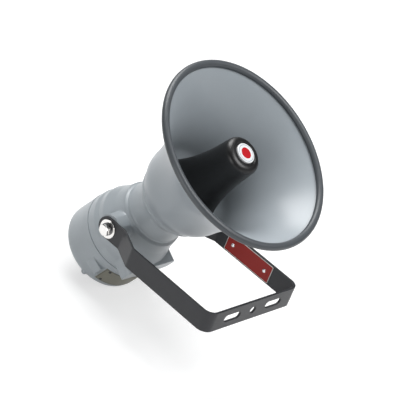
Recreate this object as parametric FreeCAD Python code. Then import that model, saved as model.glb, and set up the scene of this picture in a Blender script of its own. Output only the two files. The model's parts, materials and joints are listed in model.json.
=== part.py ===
import FreeCAD, Part
import math
import os

# Explosion-proof horn loudspeaker on a U-shaped mounting bracket. Millimetres.
# The origin is the centre of the round hole in the bracket's base, on its outer face. The base faces -Y,
# the arms run along +Y and the trunnion axis is parallel to X. The horn's own pieces are drawn
# about the horn's axis: their Z is the horn's axis towards the mouth, measured from the trunnion
# axis, X is the trunnion axis and Y is the horn's upper side.

# Pose of the horn on the bracket
arm_angle_deg = 59.0
pivot_height = 208.0

# Bracket strap
strap_thickness = 3.2
strap_width = 29.5
bracket_width = 180.4
base_corner_radius = 15.0
joggle_bend_radius = 7.0
joggle_start = 26.0
joggle_end = 60.0
ear_overhang = 3.0
slot_spacing = 82.55
slot_length = 32.0
slot_width = 11.1
centre_hole_diameter = 11.1

# Red plate on the inner side of one arm
plate_edge_margin = 1.5
plate_thickness = 0.6
plate_from_base = 45.8
plate_below_joggle = 18.7
plate_corner_radius = 1.5
rivet_from_plate_end = 11.75
rivet_shank_radius = 1.6
rivet_head_radius = 2.8
rivet_head_height = 1.1

# Trunnion bolts and washers
bolt_radius = 4.76
bolt_head_across_flats = 14.3
bolt_head_height = 5.9
bolt_head_turn_deg = 12.0
bolt_head_crown_radius = 6.94
bolt_head_chamfer_run = 9.44
bolt_hole_overrun = 1.0
bolt_engagement = 16.5
flat_washer_radius = 13.0
flat_washer_thickness = 1.8
lock_washer_radius = 8.6
lock_washer_thickness = 2.2
lock_washer_split = 1.2
bolt_washer_clearance = 0.3
ear_play = 0.1
ear_hole_clearance = 0.09

# Housing, outside
boss_radius = 18.5
boss_reach = 68.4
seam_at = -47.0
band_radius = 60.0
band_length = 14.0
band_step_length = 6.0
shell_radius = 57.4
shoulder_start = -17.0
collar_start = -0.5
collar_rear_radius = 50.8
collar_front = 18.0
collar_front_radius = 47.2
groove_width = 2.2
groove_depth = 3.6
groove_lead_in = 0.1
bead_height = 1.3
bead_length = 4.5
neck_radius = 43.0
neck_length = 18.0
flare_radius = 51.6
front_face_at = 62.0
rib_thickness = 9.0
rib_front = 24.0
rib_lap = 1.0
rib_outer_height = 14.8
pad_reach = 62.0
pad_half_length = 46.0
pad_width = 26.0
pad_corner_radius = 9.0

# Housing, inside
spigot_radius = 53.0
spigot_length = 17.0
cavity_radius = 47.5
driver_seat_at = -14.0
throat_cavity_radius = 34.0
throat_step = 2.0
throat_corner_radius = 4.0
bulkhead_thickness = 18.0
conduit_radius = 10.0
conduit_thread_length = 12.5
conduit_throat_radius = 7.5

# Rear cover
cover_radius = 60.8
cover_rear_at = -100.0
cover_corner_radius = 13.0
cover_rear_wall = 6.5
cover_cavity_radius = 51.5
seam_gap = 0.2
thread_clearance = 0.06
cover_thread_relief = 1.0
o_ring_section = 1.2
o_ring_groove_width = 2.64
o_ring_from_seam = 5.0
lug_front_at = -60.0
lug_length = 15.0
lug_face = 58.8
lug_slant = 3.2
lug_top = 19.5
lug_bottom = 37.4
lug_edge_radius = 1.5
nub_at = -94.0
nub_angle_deg = 27.0
nub_radius = 4.2
nub_reach = 62.3
set_screw_radius = 2.5
set_screw_length = 6.5
set_screw_from_seam = 10.5
set_screw_below_skin = 0.4
set_screw_socket_depth = 2.6

# Name plate, wrapped round the underside of the cover
name_plate_front_at = -57.0
name_plate_length = 28.0
name_plate_half_angle_deg = 50.0
name_plate_thickness = 0.6
name_plate_screw_angle_deg = 43.0
name_plate_screw_radius = 1.2
name_plate_screw_head = 2.2
name_plate_screw_crown = 1.54
name_plate_screw_head_height = 0.8
name_plate_screw_length = 4.0
name_plate_screw_inset = 3.2
name_plate_screw_tip_room = 0.2
name_plate_screw_lift = 0.05

# Bell and its rubber trim
mouth_radius = 129.0
mouth_at = 205.0
bell_wall = 2.0
bell_collar_radius = 53.6
bell_collar_length = 4.0
bowl_radius = 65.0
bowl_at = 90.0
bowl_middle_share = 0.6
flare_straight_share = 0.2
flare_power = 2.25
flare_stations = 5
offset_stations = 13
gasket_thickness = 1.0
trim_radius = 5.0
trim_lip_width = 6.2
trim_lip_length = 8.0
trim_lip_corner_radius = 1.86
trim_clearance = 0.05

# Tone tube inside the bell
tone_flange_radius = 42.0
tone_flange_thickness = 5.0
tone_flange_corner_radius = 3.0
tone_bore_rear = 11.0
tone_bore_front = 15.0
tone_wall = 2.2
tone_tube_end_at = 162.0
tone_screw_circle = 32.0
tone_screw_count = 6
tone_screw_turn_deg = 30.0
tone_screw_engagement = 12.0
m5_radius = 2.5
m5_head_radius = 4.2
m5_head_height = 3.5
socket_share = 0.55
screw_hole_clearance = 0.2
screw_seat_clearance = 0.03
screw_tip_room = 1.0

# Reflector, the black bullet
reflector_rear_at = 80.0
reflector_rear_radius = 50.6
reflector_middle_radius = 32.7
reflector_middle_at = 140.0
reflector_front_radius = 27.2
nose_at = 207.0
nose_corner_radius = 9.0
nose_straight = 8.0
nose_step = 0.5
reflector_rear_share = 0.39
reflector_front_share = 0.43
reflector_stations = 9
reflector_wall = 2.6
nose_wall = 4.0
post_radius = 7.0
screw_recess_radius = 5.5
screw_recess_depth = 5.0
spider_length = 10.0
spider_ring_wall = 1.8
spider_arm_thickness = 3.0
spider_arms = 3
spider_hub_radius = 6.5
spider_hub_proud = 4.0
badge_radius = 15.0
badge_thickness = 1.6

# Flame arrestor
arrestor_radius = 16.0
arrestor_flange_radius = 20.0
arrestor_flange_thickness = 3.0
arrestor_element_length = 10.0
arrestor_to_pilot_gap = 0.5

# Compression driver
driver_plate_radius = 47.2
driver_gasket_thickness = 1.0
driver_gasket_margin = 4.0
driver_cover_thickness = 6.0
snout_rear_radius = 24.0
snout_front_radius = 14.0
snout_bore_front = 9.0
snout_end_gap = 0.4
snout_corner_radius = 3.0
snout_bore_step = 1.0
phase_plug_radius = 12.0
phase_plug_thickness = 3.0
phase_plug_slots = 6
phase_cone_radius = 4.5
phase_cone_length = 14.0
phase_cone_tip_radius = 0.6
phase_slot_width = 2.0
phase_slot_inner_land = 1.2
phase_slot_outer_land = 1.8
front_chamber_radius = 28.5
front_chamber_depth = 3.0
diaphragm_radius = 29.0
diaphragm_thickness = 0.6
diaphragm_play = 0.5
dome_radius = 20.0
dome_height = 2.2
voice_coil_wall = 0.8
voice_coil_length = 9.0
gap_clearance = 0.8
clamp_ring_bore = 30.5
top_plate_thickness = 8.0
magnet_radius = 41.8
magnet_bore = 26.0
magnet_thickness = 16.0
magnet_corner_radius = 1.5
back_plate_thickness = 8.0
pole_vent_radius = 4.0
driver_screw_circle = 44.4
driver_screw_count = 4
driver_screw_turn_deg = 45.0
driver_screw_engagement = 9.0
m4_radius = 2.0
m4_head_radius = 3.0
m4_head_height = 2.4
m3_radius = 1.5
wire_notch_width = 16.0
wire_notch_depth = 7.0

# Line transformer, terminal block and ground screw on the back of the driver
core_width = 44.0
core_height = 36.0
core_stack = 18.0
core_leg = 7.0
core_centre_height = 16.0
core_clear_of_plate = 6.4
winding_overhang = 6.0
winding_clearance = 0.2
winding_corner_radius = 3.0
strap_gauge = 1.2
strap_foot_length = 9.0
strap_breadth = 12.0
block_width = 40.0
block_height = 15.0
block_depth = 12.0
block_centre_height = -22.0
block_poles = 4
block_slot_depth = 3.0
block_wall = 0.8
block_end_land = 16.0
block_screw_from_end = 4.0
block_screw_recess_radius = 3.5
block_screw_head_radius = 2.7
terminal_screw_margin = 1.0
terminal_screw_sunk = 0.6
terminal_screw_length = 2.4
ground_screw_x = -33.0
ground_screw_y = -9.0
ground_head_across_flats = 8.1
ground_head_height = 3.4
small_screw_engagement = 6.0
small_screw_tip_room = 0.5
cut_overrun = 1.0

# Stations along the horn's axis that follow from the sizes above
spigot_end_at = seam_at - spigot_length
cover_face_at = seam_at - seam_gap
groove_at = collar_front + groove_depth / 2
bead_at = groove_at + groove_width
flare_start = bead_at + bead_length + neck_length
bulkhead_at = front_face_at - bulkhead_thickness
bell_back_at = front_face_at + gasket_thickness
tone_flange_at = bell_back_at + bell_wall
tone_flange_front = tone_flange_at + tone_flange_thickness
nose_floor_at = nose_at - screw_recess_depth
spider_at = tone_tube_end_at - spider_length
hub_front = tone_tube_end_at + spider_hub_proud
driver_cover_front = driver_seat_at - driver_gasket_thickness
driver_cover_rear = driver_cover_front - driver_cover_thickness
clamp_ring_thickness = diaphragm_thickness + 2 * diaphragm_play
top_plate_front = driver_cover_rear - clamp_ring_thickness
top_plate_rear = top_plate_front - top_plate_thickness
magnet_rear = top_plate_rear - magnet_thickness
back_plate_rear = magnet_rear - back_plate_thickness
cover_bore_radius = spigot_radius + thread_clearance
cover_cavity_rear = cover_rear_at + cover_rear_wall
pad_centre_at = seam_at + pad_width / 2
strap_centre = bracket_width / 2 - strap_thickness / 2
arm_face = bracket_width / 2 - strap_thickness
plate_end = pivot_height - joggle_end - plate_below_joggle
ear_inner = boss_reach + ear_play
ear_outer = ear_inner + strap_thickness
ear_centre = ear_inner + strap_thickness / 2
washer_seat = ear_outer + ear_play / 2
voice_coil_outer = dome_radius + voice_coil_wall
pole_radius = dome_radius - gap_clearance

FULL_TURN = 360.0
QUARTER_TURN = 90.0
AXIS = FreeCAD.Vector(0, 0, 1)
ORIGIN = FreeCAD.Vector(0, 0, 0)
ACROSS = FreeCAD.Vector(1, 0, 0)
ALONG_ARMS = FreeCAD.Vector(0, 1, 0)
LEAN = FreeCAD.Rotation(ACROSS, QUARTER_TURN - arm_angle_deg)
ON_TRUNNION = FreeCAD.Placement(FreeCAD.Vector(0, pivot_height, 0), LEAN)


def vec(x, y, z):
    return FreeCAD.Vector(x, y, z)


def rounded_outline(corners, place):
    """A closed wire of straight runs, with an arc at each corner that names a radius."""
    flat = [FreeCAD.Vector(c[0], c[1], 0) for c in corners]
    radii = [c[2] if len(c) > 2 else 0 for c in corners]
    starts, ends, mids = [], [], []
    for i, corner in enumerate(flat):
        back = (flat[i - 1] - corner).normalize()
        ahead = (flat[(i + 1) % len(flat)] - corner).normalize()
        if radii[i] == 0:
            starts.append(corner)
            ends.append(corner)
            mids.append(None)
            continue
        half = back.getAngle(ahead) / 2
        reach = radii[i] / math.tan(half)
        bisector = (back + ahead).normalize()
        starts.append(corner + back * reach)
        ends.append(corner + ahead * reach)
        mids.append(corner + bisector * (radii[i] / math.sin(half) - radii[i]))
    edges = []
    for i in range(len(flat)):
        if mids[i] is not None:
            arc = Part.Arc(place(starts[i]), place(mids[i]), place(ends[i]))
            edges.append(arc.toShape())
        following = starts[(i + 1) % len(flat)]
        if (following - ends[i]).Length > 1e-6:
            edges.append(Part.LineSegment(place(ends[i]), place(following)).toShape())
    return Part.Wire(edges)


def on_section(p):
    return FreeCAD.Vector(p.x, 0, p.y)


def on_arm(p):
    return FreeCAD.Vector(0, p.x, p.y)


def on_plan(p):
    return FreeCAD.Vector(p.x, p.y, 0)


def turned(corners):
    """A solid of revolution about the horn's axis from (radius, station, corner radius) points."""
    return Part.Face(rounded_outline(corners, on_section)).revolve(ORIGIN, AXIS, FULL_TURN)


def turned_edges(edges):
    return Part.Face(Part.Wire(edges)).revolve(ORIGIN, AXIS, FULL_TURN)


def smooth(points):
    """One smooth edge through (radius, station) points."""
    curve = Part.BSplineCurve()
    curve.interpolate([vec(r, 0, h) for r, h in points])
    return curve


def beside(curve, distance, count):
    """Points at a distance from a section curve, on the side of the axis."""
    first, last = curve.FirstParameter, curve.LastParameter
    points = []
    for i in range(count):
        u = first + (last - first) * i / (count - 1)
        run = curve.tangent(u)[0]
        away = vec(-run.z, 0, run.x).normalize()
        if away.x > 0:
            away = away * -1
        here = curve.value(u) + away * distance
        points.append((here.x, here.z))
    return points


def runs(points):
    """Straight edges through (radius, station) points."""
    corners = [vec(r, 0, h) for r, h in points]
    return [Part.LineSegment(a, b).toShape() for a, b in zip(corners, corners[1:])]


def cylinder(radius, start, end, direction=AXIS):
    length = (end - start).Length
    return Part.makeCylinder(radius, length, start, direction)


def ring(outer, inner, back, front):
    return turned([(inner, back), (outer, back), (outer, front), (inner, front)])


def round_the_axis(shape, count, first_deg=0.0):
    """Copies of a shape, evenly spaced about the horn's axis."""
    copies = []
    for i in range(count):
        copy = shape.copy()
        copy.rotate(ORIGIN, AXIS, first_deg + i * FULL_TURN / count)
        copies.append(copy)
    return copies


def together(shapes):
    joined = shapes[0]
    for shape in shapes[1:]:
        joined = joined.fuse(shape)
    return joined.removeSplitter()


def socket_screw(shank_radius, head_radius, head_height, seat, tip):
    """A screw along the horn's axis: the head's underside lies at seat, the shank ends at tip."""
    side = 1 if seat > tip else -1
    socket = head_radius * socket_share
    head = Part.makeCylinder(head_radius, head_height, vec(0, 0, seat), AXIS * side)
    recess_floor = vec(0, 0, seat + side * head_height / 2)
    recess = hexagon(2 * socket, head_height / 2, recess_floor, AXIS * side)
    shank = Part.makeCylinder(shank_radius, abs(seat - tip), vec(0, 0, min(seat, tip)), AXIS)
    return together([head.cut(recess), shank])


def hexagon(across_flats, height, base, direction, turn_deg=0.0):
    """A hexagonal prism standing on base along direction."""
    radius = across_flats / math.sqrt(3)
    corners = []
    for i in range(7):
        angle = math.radians(60 * i + turn_deg)
        corners.append(vec(radius * math.cos(angle), radius * math.sin(angle), 0))
    prism = Part.Face(Part.makePolygon(corners)).extrude(AXIS * height)
    prism.Placement = FreeCAD.Placement(base, FreeCAD.Rotation(AXIS, direction))
    return prism


# Bracket


def strap_side(offset):
    """One side of the bent strap, offset from its centre line, from the right ear to the left."""
    top = pivot_height + ear_overhang + strap_width / 2
    base_line = strap_thickness / 2
    path = [(ear_centre, top), (ear_centre, pivot_height - joggle_start)]
    path += [(strap_centre, pivot_height - joggle_end), (strap_centre, base_line)]
    path += [(-x, y) for x, y in reversed(path)]
    centre_radius = base_corner_radius - strap_thickness / 2
    bends = [0, joggle_bend_radius, joggle_bend_radius, centre_radius]
    bends += list(reversed(bends))
    turns = [0, -1, 1, 1, 1, 1, -1, 0]
    points = [vec(x, y, 0) for x, y in path]
    corners = []
    for i, point in enumerate(points):
        into = (point - points[i - 1]).normalize() if i > 0 else (points[1] - point).normalize()
        out = (points[i + 1] - point).normalize() if i + 1 < len(points) else into
        left_in, left_out = vec(-into.y, into.x, 0), vec(-out.y, out.x, 0)
        shift = (left_in + left_out) * (offset / (1 + left_in.dot(left_out)))
        place = point + shift
        radius = bends[i] + turns[i] * offset if bends[i] else 0
        corners.append((place.x, place.y, radius))
    return corners


def make_bracket():
    """The strap is bent from flat bar: U shape, joggled arms, rounded ears."""
    outside = strap_side(strap_thickness / 2)
    inside = strap_side(-strap_thickness / 2)
    outline = rounded_outline(outside + list(reversed(inside)), on_plan)
    strap = Part.Face(outline).extrude(AXIS * strap_width)
    strap.translate(vec(0, 0, -strap_width / 2))
    width = bracket_width + strap_thickness
    corner = vec(-width / 2, -cut_overrun, -strap_width / 2)
    ear_round_at = pivot_height + ear_overhang
    blank = Part.makeBox(width, ear_round_at + cut_overrun, strap_width, corner)
    ears = Part.makeCylinder(strap_width / 2, width, vec(-width / 2, ear_round_at, 0), ACROSS)
    strap = strap.common(blank.fuse(ears))
    pivot_hole = bolt_radius + ear_hole_clearance
    pivot_start = vec(-width / 2, pivot_height, 0)
    strap = strap.cut(Part.makeCylinder(pivot_hole, width, pivot_start, ACROSS))
    below_base = vec(0, -strap_thickness, 0)
    centre = Part.makeCylinder(centre_hole_diameter / 2, 3 * strap_thickness, below_base, ALONG_ARMS)
    strap = strap.cut(centre)
    for side in (-1, 1):
        strap = strap.cut(base_slot(side * slot_spacing / 2))
    for rivet_y in rivet_places():
        start = vec(strap_centre - strap_thickness, rivet_y, 0)
        strap = strap.cut(Part.makeCylinder(rivet_shank_radius, 2 * strap_thickness, start, ACROSS))
    return strap.removeSplitter()


def base_slot(centre_x):
    straight = slot_length / 2 - slot_width / 2
    radius = slot_width / 2
    depth = 3 * strap_thickness
    corner = vec(centre_x - straight, -strap_thickness, -radius)
    middle = Part.makeBox(2 * straight, depth, slot_width, corner)
    ends = []
    for end in (-1, 1):
        start = vec(centre_x + end * straight, -strap_thickness, 0)
        ends.append(Part.makeCylinder(radius, depth, start, ALONG_ARMS))
    return middle.fuse(ends[0]).fuse(ends[1])


def rivet_places():
    return [plate_from_base + rivet_from_plate_end, plate_end - rivet_from_plate_end]


def make_red_plate():
    """A thin metal plate with rounded corners, flat on the arm's inner face."""
    half = strap_width / 2 - plate_edge_margin
    corners = [(plate_from_base, -half), (plate_end, -half), (plate_end, half), (plate_from_base, half)]
    outline = rounded_outline([(y, z, plate_corner_radius) for y, z in corners], on_arm)
    plate = Part.Face(outline).extrude(vec(-plate_thickness, 0, 0))
    plate.translate(vec(arm_face, 0, 0))
    for rivet_y in rivet_places():
        start = vec(arm_face - strap_thickness, rivet_y, 0)
        plate = plate.cut(Part.makeCylinder(rivet_shank_radius, 2 * strap_thickness, start, ACROSS))
    return plate


def make_rivets():
    """Domed rivets through plate and arm, peened flush outside."""
    plate_face = arm_face - plate_thickness
    rivets = []
    length = strap_thickness + plate_thickness
    bulge = (rivet_head_radius ** 2 + rivet_head_height ** 2) / (2 * rivet_head_height)
    side = 2 * rivet_head_radius
    crown = plate_face - rivet_head_height
    for rivet_y in rivet_places():
        shank = Part.makeCylinder(rivet_shank_radius, length, vec(plate_face, rivet_y, 0), ACROSS)
        ball = Part.makeSphere(bulge, vec(crown + bulge, rivet_y, 0))
        cap = Part.makeBox(rivet_head_height, side, side, vec(crown, rivet_y - side / 2, -side / 2))
        rivets.append(together([shank, ball.common(cap)]))
    return Part.makeCompound(rivets)


# Trunnion hardware, drawn for the right side along +X and turned for the left


def side_turn(shape, side):
    if side < 0:
        shape.rotate(ORIGIN, AXIS, 180)
    return shape


def make_trunnion_bolt(side):
    """Hexagon bolt through the ear into the boss, with a chamfered head."""
    under_head = washer_seat + flat_washer_thickness + lock_washer_thickness
    seat = vec(under_head, 0, 0)
    head = hexagon(bolt_head_across_flats, bolt_head_height, seat, ACROSS, bolt_head_turn_deg)
    chamfer_reach = bolt_head_across_flats / 2 + bolt_head_chamfer_run
    cone = Part.makeCone(chamfer_reach, bolt_head_crown_radius, bolt_head_height, seat, ACROSS)
    tip = boss_reach - bolt_engagement
    shank = Part.makeCylinder(bolt_radius, under_head - tip, vec(tip, 0, 0), ACROSS)
    return side_turn(together([head.common(cone), shank]), side)


def washer(outer, inner, start, thickness):
    disc = Part.makeCylinder(outer, thickness, vec(start, 0, 0), ACROSS)
    return disc.cut(Part.makeCylinder(inner, thickness, vec(start, 0, 0), ACROSS))


def make_flat_washer(side):
    inner = bolt_radius + bolt_washer_clearance
    return side_turn(washer(flat_washer_radius, inner, washer_seat, flat_washer_thickness), side)


def make_lock_washer(side):
    """A spring washer, split once."""
    inner = bolt_radius + bolt_washer_clearance
    start = washer_seat + flat_washer_thickness
    corner = vec(start, 0, -lock_washer_split / 2)
    split = Part.makeBox(lock_washer_thickness, lock_washer_radius, lock_washer_split, corner)
    coil = washer(lock_washer_radius, inner, start, lock_washer_thickness)
    return side_turn(coil.cut(split), side)


# Housing


def housing_skin():
    """Outside of the casting, solid to the axis, from the spigot to the front face."""
    band_end = seam_at + band_length
    bead_top = neck_radius + bead_height
    flare_middle = (flare_start + front_face_at) / 2
    lower = [(0, spigot_end_at), (spigot_radius, spigot_end_at), (spigot_radius, seam_at)]
    lower += [(band_radius, seam_at), (band_radius, band_end), (shell_radius, band_end + band_step_length)]
    lower += [(shell_radius, shoulder_start), (collar_rear_radius, collar_start)]
    lower += [(collar_front_radius, collar_front)]
    edges = runs(lower)
    groove_radius = collar_front_radius - groove_depth
    floor_rear = (groove_radius, groove_at + groove_width / 3)
    floor_front = (groove_radius, groove_at + groove_width / 2)
    middle = (groove_radius + groove_depth / 3, groove_at - groove_lead_in)
    edges.append(smooth([(collar_front_radius, collar_front), middle, floor_rear]).toShape())
    edges += runs([floor_rear, floor_front])
    bead_end = (neck_radius, bead_at + bead_length)
    edges.append(smooth([floor_front, (bead_top, bead_at), bead_end]).toShape())
    edges += runs([bead_end, (neck_radius, flare_start)])
    lip = front_face_at - bell_wall
    flare = Part.BezierCurve()
    bend = vec(neck_radius, 0, flare_middle)
    flare.setPoles([vec(neck_radius, 0, flare_start), bend, vec(flare_radius, 0, lip)])
    edges.append(flare.toShape())
    edges += runs([(flare_radius, lip), (flare_radius, front_face_at), (0, front_face_at)])
    edges += runs([(0, front_face_at), (0, spigot_end_at)])
    return turned_edges(edges)


def housing_ribs():
    """Webs from the trunnion bosses forward to the neck."""
    outer = boss_reach - strap_thickness
    front = [(neck_radius - groove_depth, rib_front + groove_width), (neck_radius + rib_lap, rib_front)]
    rear = [(outer, rib_outer_height), (outer, 0), (throat_cavity_radius, 0)]
    web = Part.Face(Part.makePolygon([vec(x, -rib_thickness / 2, z) for x, z in front + rear + front[:1]]))
    right = web.extrude(vec(0, rib_thickness, 0))
    left = right.mirror(ORIGIN, ACROSS)
    return [right, left]


def conduit_pad():
    """Flat pad under the housing that carries the conduit entry."""
    half, wide = pad_half_length, pad_width / 2
    corners = [(-half, -wide), (half, -wide), (half, wide), (-half, wide)]
    outline = rounded_outline([(x, z, pad_corner_radius) for x, z in corners], on_section)
    pad = Part.Face(outline).extrude(vec(0, -pad_reach + cavity_radius / 2, 0))
    pad.translate(vec(0, -cavity_radius / 2, pad_centre_at))
    return pad


def housing_cavity():
    """Driver chamber, throat chamber and the threaded bore for the flame arrestor."""
    rear = spigot_end_at - cut_overrun
    front = front_face_at + cut_overrun
    wide = throat_cavity_radius + throat_step
    corners = [(0, rear), (cavity_radius, rear), (cavity_radius, driver_seat_at), (wide, driver_seat_at)]
    corners += [(wide, 0, throat_corner_radius), (throat_cavity_radius, groove_at, throat_corner_radius)]
    corners += [(throat_cavity_radius, bulkhead_at), (arrestor_radius, bulkhead_at), (arrestor_radius, front)]
    corners += [(0, front)]
    return turned(corners)


def make_housing():
    """The casting with its machined bores, threads as plain cylinders."""
    bosses = Part.makeCylinder(boss_radius, 2 * boss_reach, vec(-boss_reach, 0, 0), ACROSS)
    body = together([housing_skin(), bosses, conduit_pad()] + housing_ribs())
    body = body.cut(housing_cavity())
    tip = boss_reach - bolt_engagement
    hole = bolt_radius + screw_seat_clearance
    for side in (-1, 1):
        start = vec(side * (tip - bolt_hole_overrun), 0, 0)
        depth = bolt_engagement + 2 * bolt_hole_overrun
        body = body.cut(Part.makeCylinder(hole, depth, start, vec(side, 0, 0)))
    down = vec(0, -1, 0)
    thread_end = pad_reach - conduit_thread_length
    thread_depth = conduit_thread_length + cut_overrun
    entry = Part.makeCylinder(conduit_radius, thread_depth, vec(0, -thread_end, pad_centre_at), down)
    throat_start = vec(0, -pad_reach / 2, pad_centre_at)
    throat = Part.makeCylinder(conduit_throat_radius, pad_reach / 2, throat_start, down)
    body = body.cut(entry).cut(throat)
    groove_floor = spigot_radius - 2 * o_ring_section
    groove_rear = o_ring_at() - o_ring_groove_width / 2
    groove_front = o_ring_at() + o_ring_groove_width / 2
    body = body.cut(ring(spigot_radius + cut_overrun, groove_floor, groove_rear, groove_front))
    driver_tip = driver_seat_at + driver_screw_engagement
    driver_holes = driver_screw_shafts(driver_tip, m4_radius + screw_seat_clearance)
    tone_tip = front_face_at - tone_screw_engagement - screw_tip_room
    tone_holes = tone_screw_shafts(tone_tip, m5_radius + screw_seat_clearance)
    return body.cut(Part.makeCompound(driver_holes)).cut(Part.makeCompound(tone_holes))


def driver_screw_shafts(tip, radius):
    start = back_plate_rear - cut_overrun
    length = tip + screw_tip_room - start
    shaft = Part.makeCylinder(radius, length, vec(driver_screw_circle, 0, start), AXIS)
    return round_the_axis(shaft, driver_screw_count, driver_screw_turn_deg)


def tone_screw_shafts(tip, radius):
    length = tone_flange_front + cut_overrun - tip
    shaft = Part.makeCylinder(radius, length, vec(tone_screw_circle, 0, tip), AXIS)
    return round_the_axis(shaft, tone_screw_count, tone_screw_turn_deg)


# Rear cover and what is on it


def o_ring_at():
    return seam_at - o_ring_from_seam


def make_o_ring():
    return Part.makeTorus(spigot_radius - o_ring_section, o_ring_section, vec(0, 0, o_ring_at()), AXIS)


def cover_lug():
    """Flat-faced lug for a turning bar, on the right side of the cover."""
    inner = cover_cavity_radius - lug_length / 2
    plan = [(lug_face, -lug_top), (lug_face - lug_slant, -lug_bottom)]
    plan += [(inner, -lug_bottom), (inner, -lug_top)]
    rounded = [corner + (lug_edge_radius,) for corner in plan[:2]]
    lug = Part.Face(rounded_outline(rounded + plan[2:], on_plan)).extrude(AXIS * -lug_length)
    lug.translate(vec(0, 0, lug_front_at))
    return lug


def cover_nub():
    """Small round boss near the cover's rear edge."""
    angle = math.radians(nub_angle_deg)
    outward = vec(math.cos(angle), -math.sin(angle), 0)
    start = outward * (cover_cavity_radius - nub_radius) + vec(0, 0, nub_at)
    end = outward * (nub_reach - nub_radius) + vec(0, 0, nub_at)
    return together([cylinder(nub_radius, start, end, outward), Part.makeSphere(nub_radius, end)])


def set_screw_axis_at():
    return seam_at - set_screw_from_seam


def make_rear_cover():
    """Screw-on cap: smooth cup with turning lugs and a thread inside its mouth."""
    cup = turned([(0, cover_rear_at), (cover_radius, cover_rear_at, cover_corner_radius),
                  (cover_radius, cover_face_at), (0, cover_face_at)])
    extras = [cover_lug(), cover_nub()]
    extras += [shape.mirror(ORIGIN, ACROSS) for shape in extras]
    cup = together([cup] + extras)
    step_at = spigot_end_at - cover_thread_relief
    mouth = cover_face_at + cut_overrun
    hollow = turned([(0, cover_cavity_rear), (cover_cavity_radius, cover_cavity_rear, cover_rear_wall / 2),
                     (cover_cavity_radius, step_at), (cover_bore_radius, step_at),
                     (cover_bore_radius, mouth), (0, mouth)])
    cup = cup.cut(hollow)
    start = vec(cavity_radius, 0, set_screw_axis_at())
    cup = cup.cut(Part.makeCylinder(set_screw_radius + screw_seat_clearance, cover_radius, start, ACROSS))
    return cup.cut(name_plate_holes())


def make_set_screw():
    """Socket set screw that locks the cover's thread."""
    top = cover_radius - set_screw_below_skin
    tip = vec(top - set_screw_length, 0, set_screw_axis_at())
    screw = Part.makeCylinder(set_screw_radius, set_screw_length, tip, ACROSS)
    socket_floor = vec(top - set_screw_socket_depth, 0, set_screw_axis_at())
    return screw.cut(hexagon(set_screw_radius, set_screw_socket_depth + cut_overrun, socket_floor, ACROSS))


def make_name_plate():
    """Blank plate rolled to the cover's radius."""
    rear = name_plate_front_at - name_plate_length
    inner = cover_radius + screw_seat_clearance
    outer = inner + name_plate_thickness
    corners = [(inner, rear), (outer, rear), (outer, name_plate_front_at), (inner, name_plate_front_at)]
    section = Part.Face(rounded_outline(corners, on_section))
    plate = section.revolve(ORIGIN, AXIS, 2 * name_plate_half_angle_deg)
    plate.rotate(ORIGIN, AXIS, -QUARTER_TURN - name_plate_half_angle_deg)
    return plate.cut(name_plate_holes())


def name_plate_screw_spots():
    """Station and outward direction of each screw."""
    spots = []
    front = name_plate_front_at - name_plate_screw_inset
    rear = name_plate_front_at - name_plate_length + name_plate_screw_inset
    for station in (front, rear):
        for side in (-1, 1):
            angle = math.radians(side * name_plate_screw_angle_deg - QUARTER_TURN)
            spots.append((station, vec(math.cos(angle), math.sin(angle), 0)))
    return spots


def name_plate_holes():
    radius = name_plate_screw_radius + screw_seat_clearance
    depth = name_plate_screw_length + 2 * cut_overrun
    holes = []
    for station, outward in name_plate_screw_spots():
        start = outward * (cover_radius - name_plate_screw_length) + vec(0, 0, station)
        holes.append(Part.makeCylinder(radius, depth, start, outward))
    return Part.makeCompound(holes)


def make_name_plate_screws():
    top = cover_radius + screw_seat_clearance + name_plate_thickness
    screws = []
    tip = cover_radius - name_plate_screw_length + name_plate_screw_tip_room
    for station, outward in name_plate_screw_spots():
        foot = outward * tip + vec(0, 0, station)
        under = outward * (top + name_plate_screw_lift) + vec(0, 0, station)
        shank = Part.makeCylinder(name_plate_screw_radius, (under - foot).Length, foot, outward)
        head = Part.makeCone(name_plate_screw_head, name_plate_screw_crown,
                             name_plate_screw_head_height, under, outward)
        screws.append(together([shank, head]))
    return Part.makeCompound(screws)


# Bell


def flare_at(share):
    """Bell radius between the bowl and the mouth, share 0 to 1 of the way."""
    rise = flare_straight_share * share + (1 - flare_straight_share) * share ** flare_power
    return bowl_radius + (mouth_radius - bowl_radius) * rise


def bell_curve():
    """Outside of the bell from its collar to the mouth."""
    start = bell_back_at + bell_collar_length
    middle = (start + bowl_at) / 2
    middle_radius = bell_collar_radius + (bowl_radius - bell_collar_radius) * bowl_middle_share
    points = [(bell_collar_radius, start), (middle_radius, middle), (bowl_radius, bowl_at)]
    for i in range(flare_stations):
        share = (i + 1) / flare_stations
        points.append((flare_at(share), bowl_at + (mouth_at - bowl_at) * share))
    return smooth(points)


def make_bell(extra=0.0):
    """Spun bell with a flat back; extra makes it thicker all over, to cut its seat in the trim."""
    curve = bell_curve()
    outside = smooth(beside(curve, -extra, offset_stations)) if extra else curve
    inside = smooth(beside(curve, bell_wall + extra, offset_stations))
    first_out, last_out = outside.StartPoint, outside.EndPoint
    first_in, last_in = inside.StartPoint, inside.EndPoint
    back = bell_back_at - extra
    front = tone_flange_at + extra
    hole = tone_pilot_radius() + screw_hole_clearance
    edges = runs([(first_in.x, first_in.z), (first_in.x, front), (hole, front), (hole, back),
                  (first_out.x, back), (first_out.x, first_out.z)])
    edges += [outside.toShape(), Part.LineSegment(last_out, last_in).toShape(), inside.toShape()]
    bell = turned_edges(Part.__sortEdges__(edges))
    return clear_of_tone_screws(bell)


def clear_of_tone_screws(shape):
    return shape.cut(Part.makeCompound(tone_screw_shafts(bulkhead_at, m5_radius + screw_hole_clearance)))


def tone_pilot_radius():
    return tone_bore_rear + 2 * tone_wall


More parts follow.
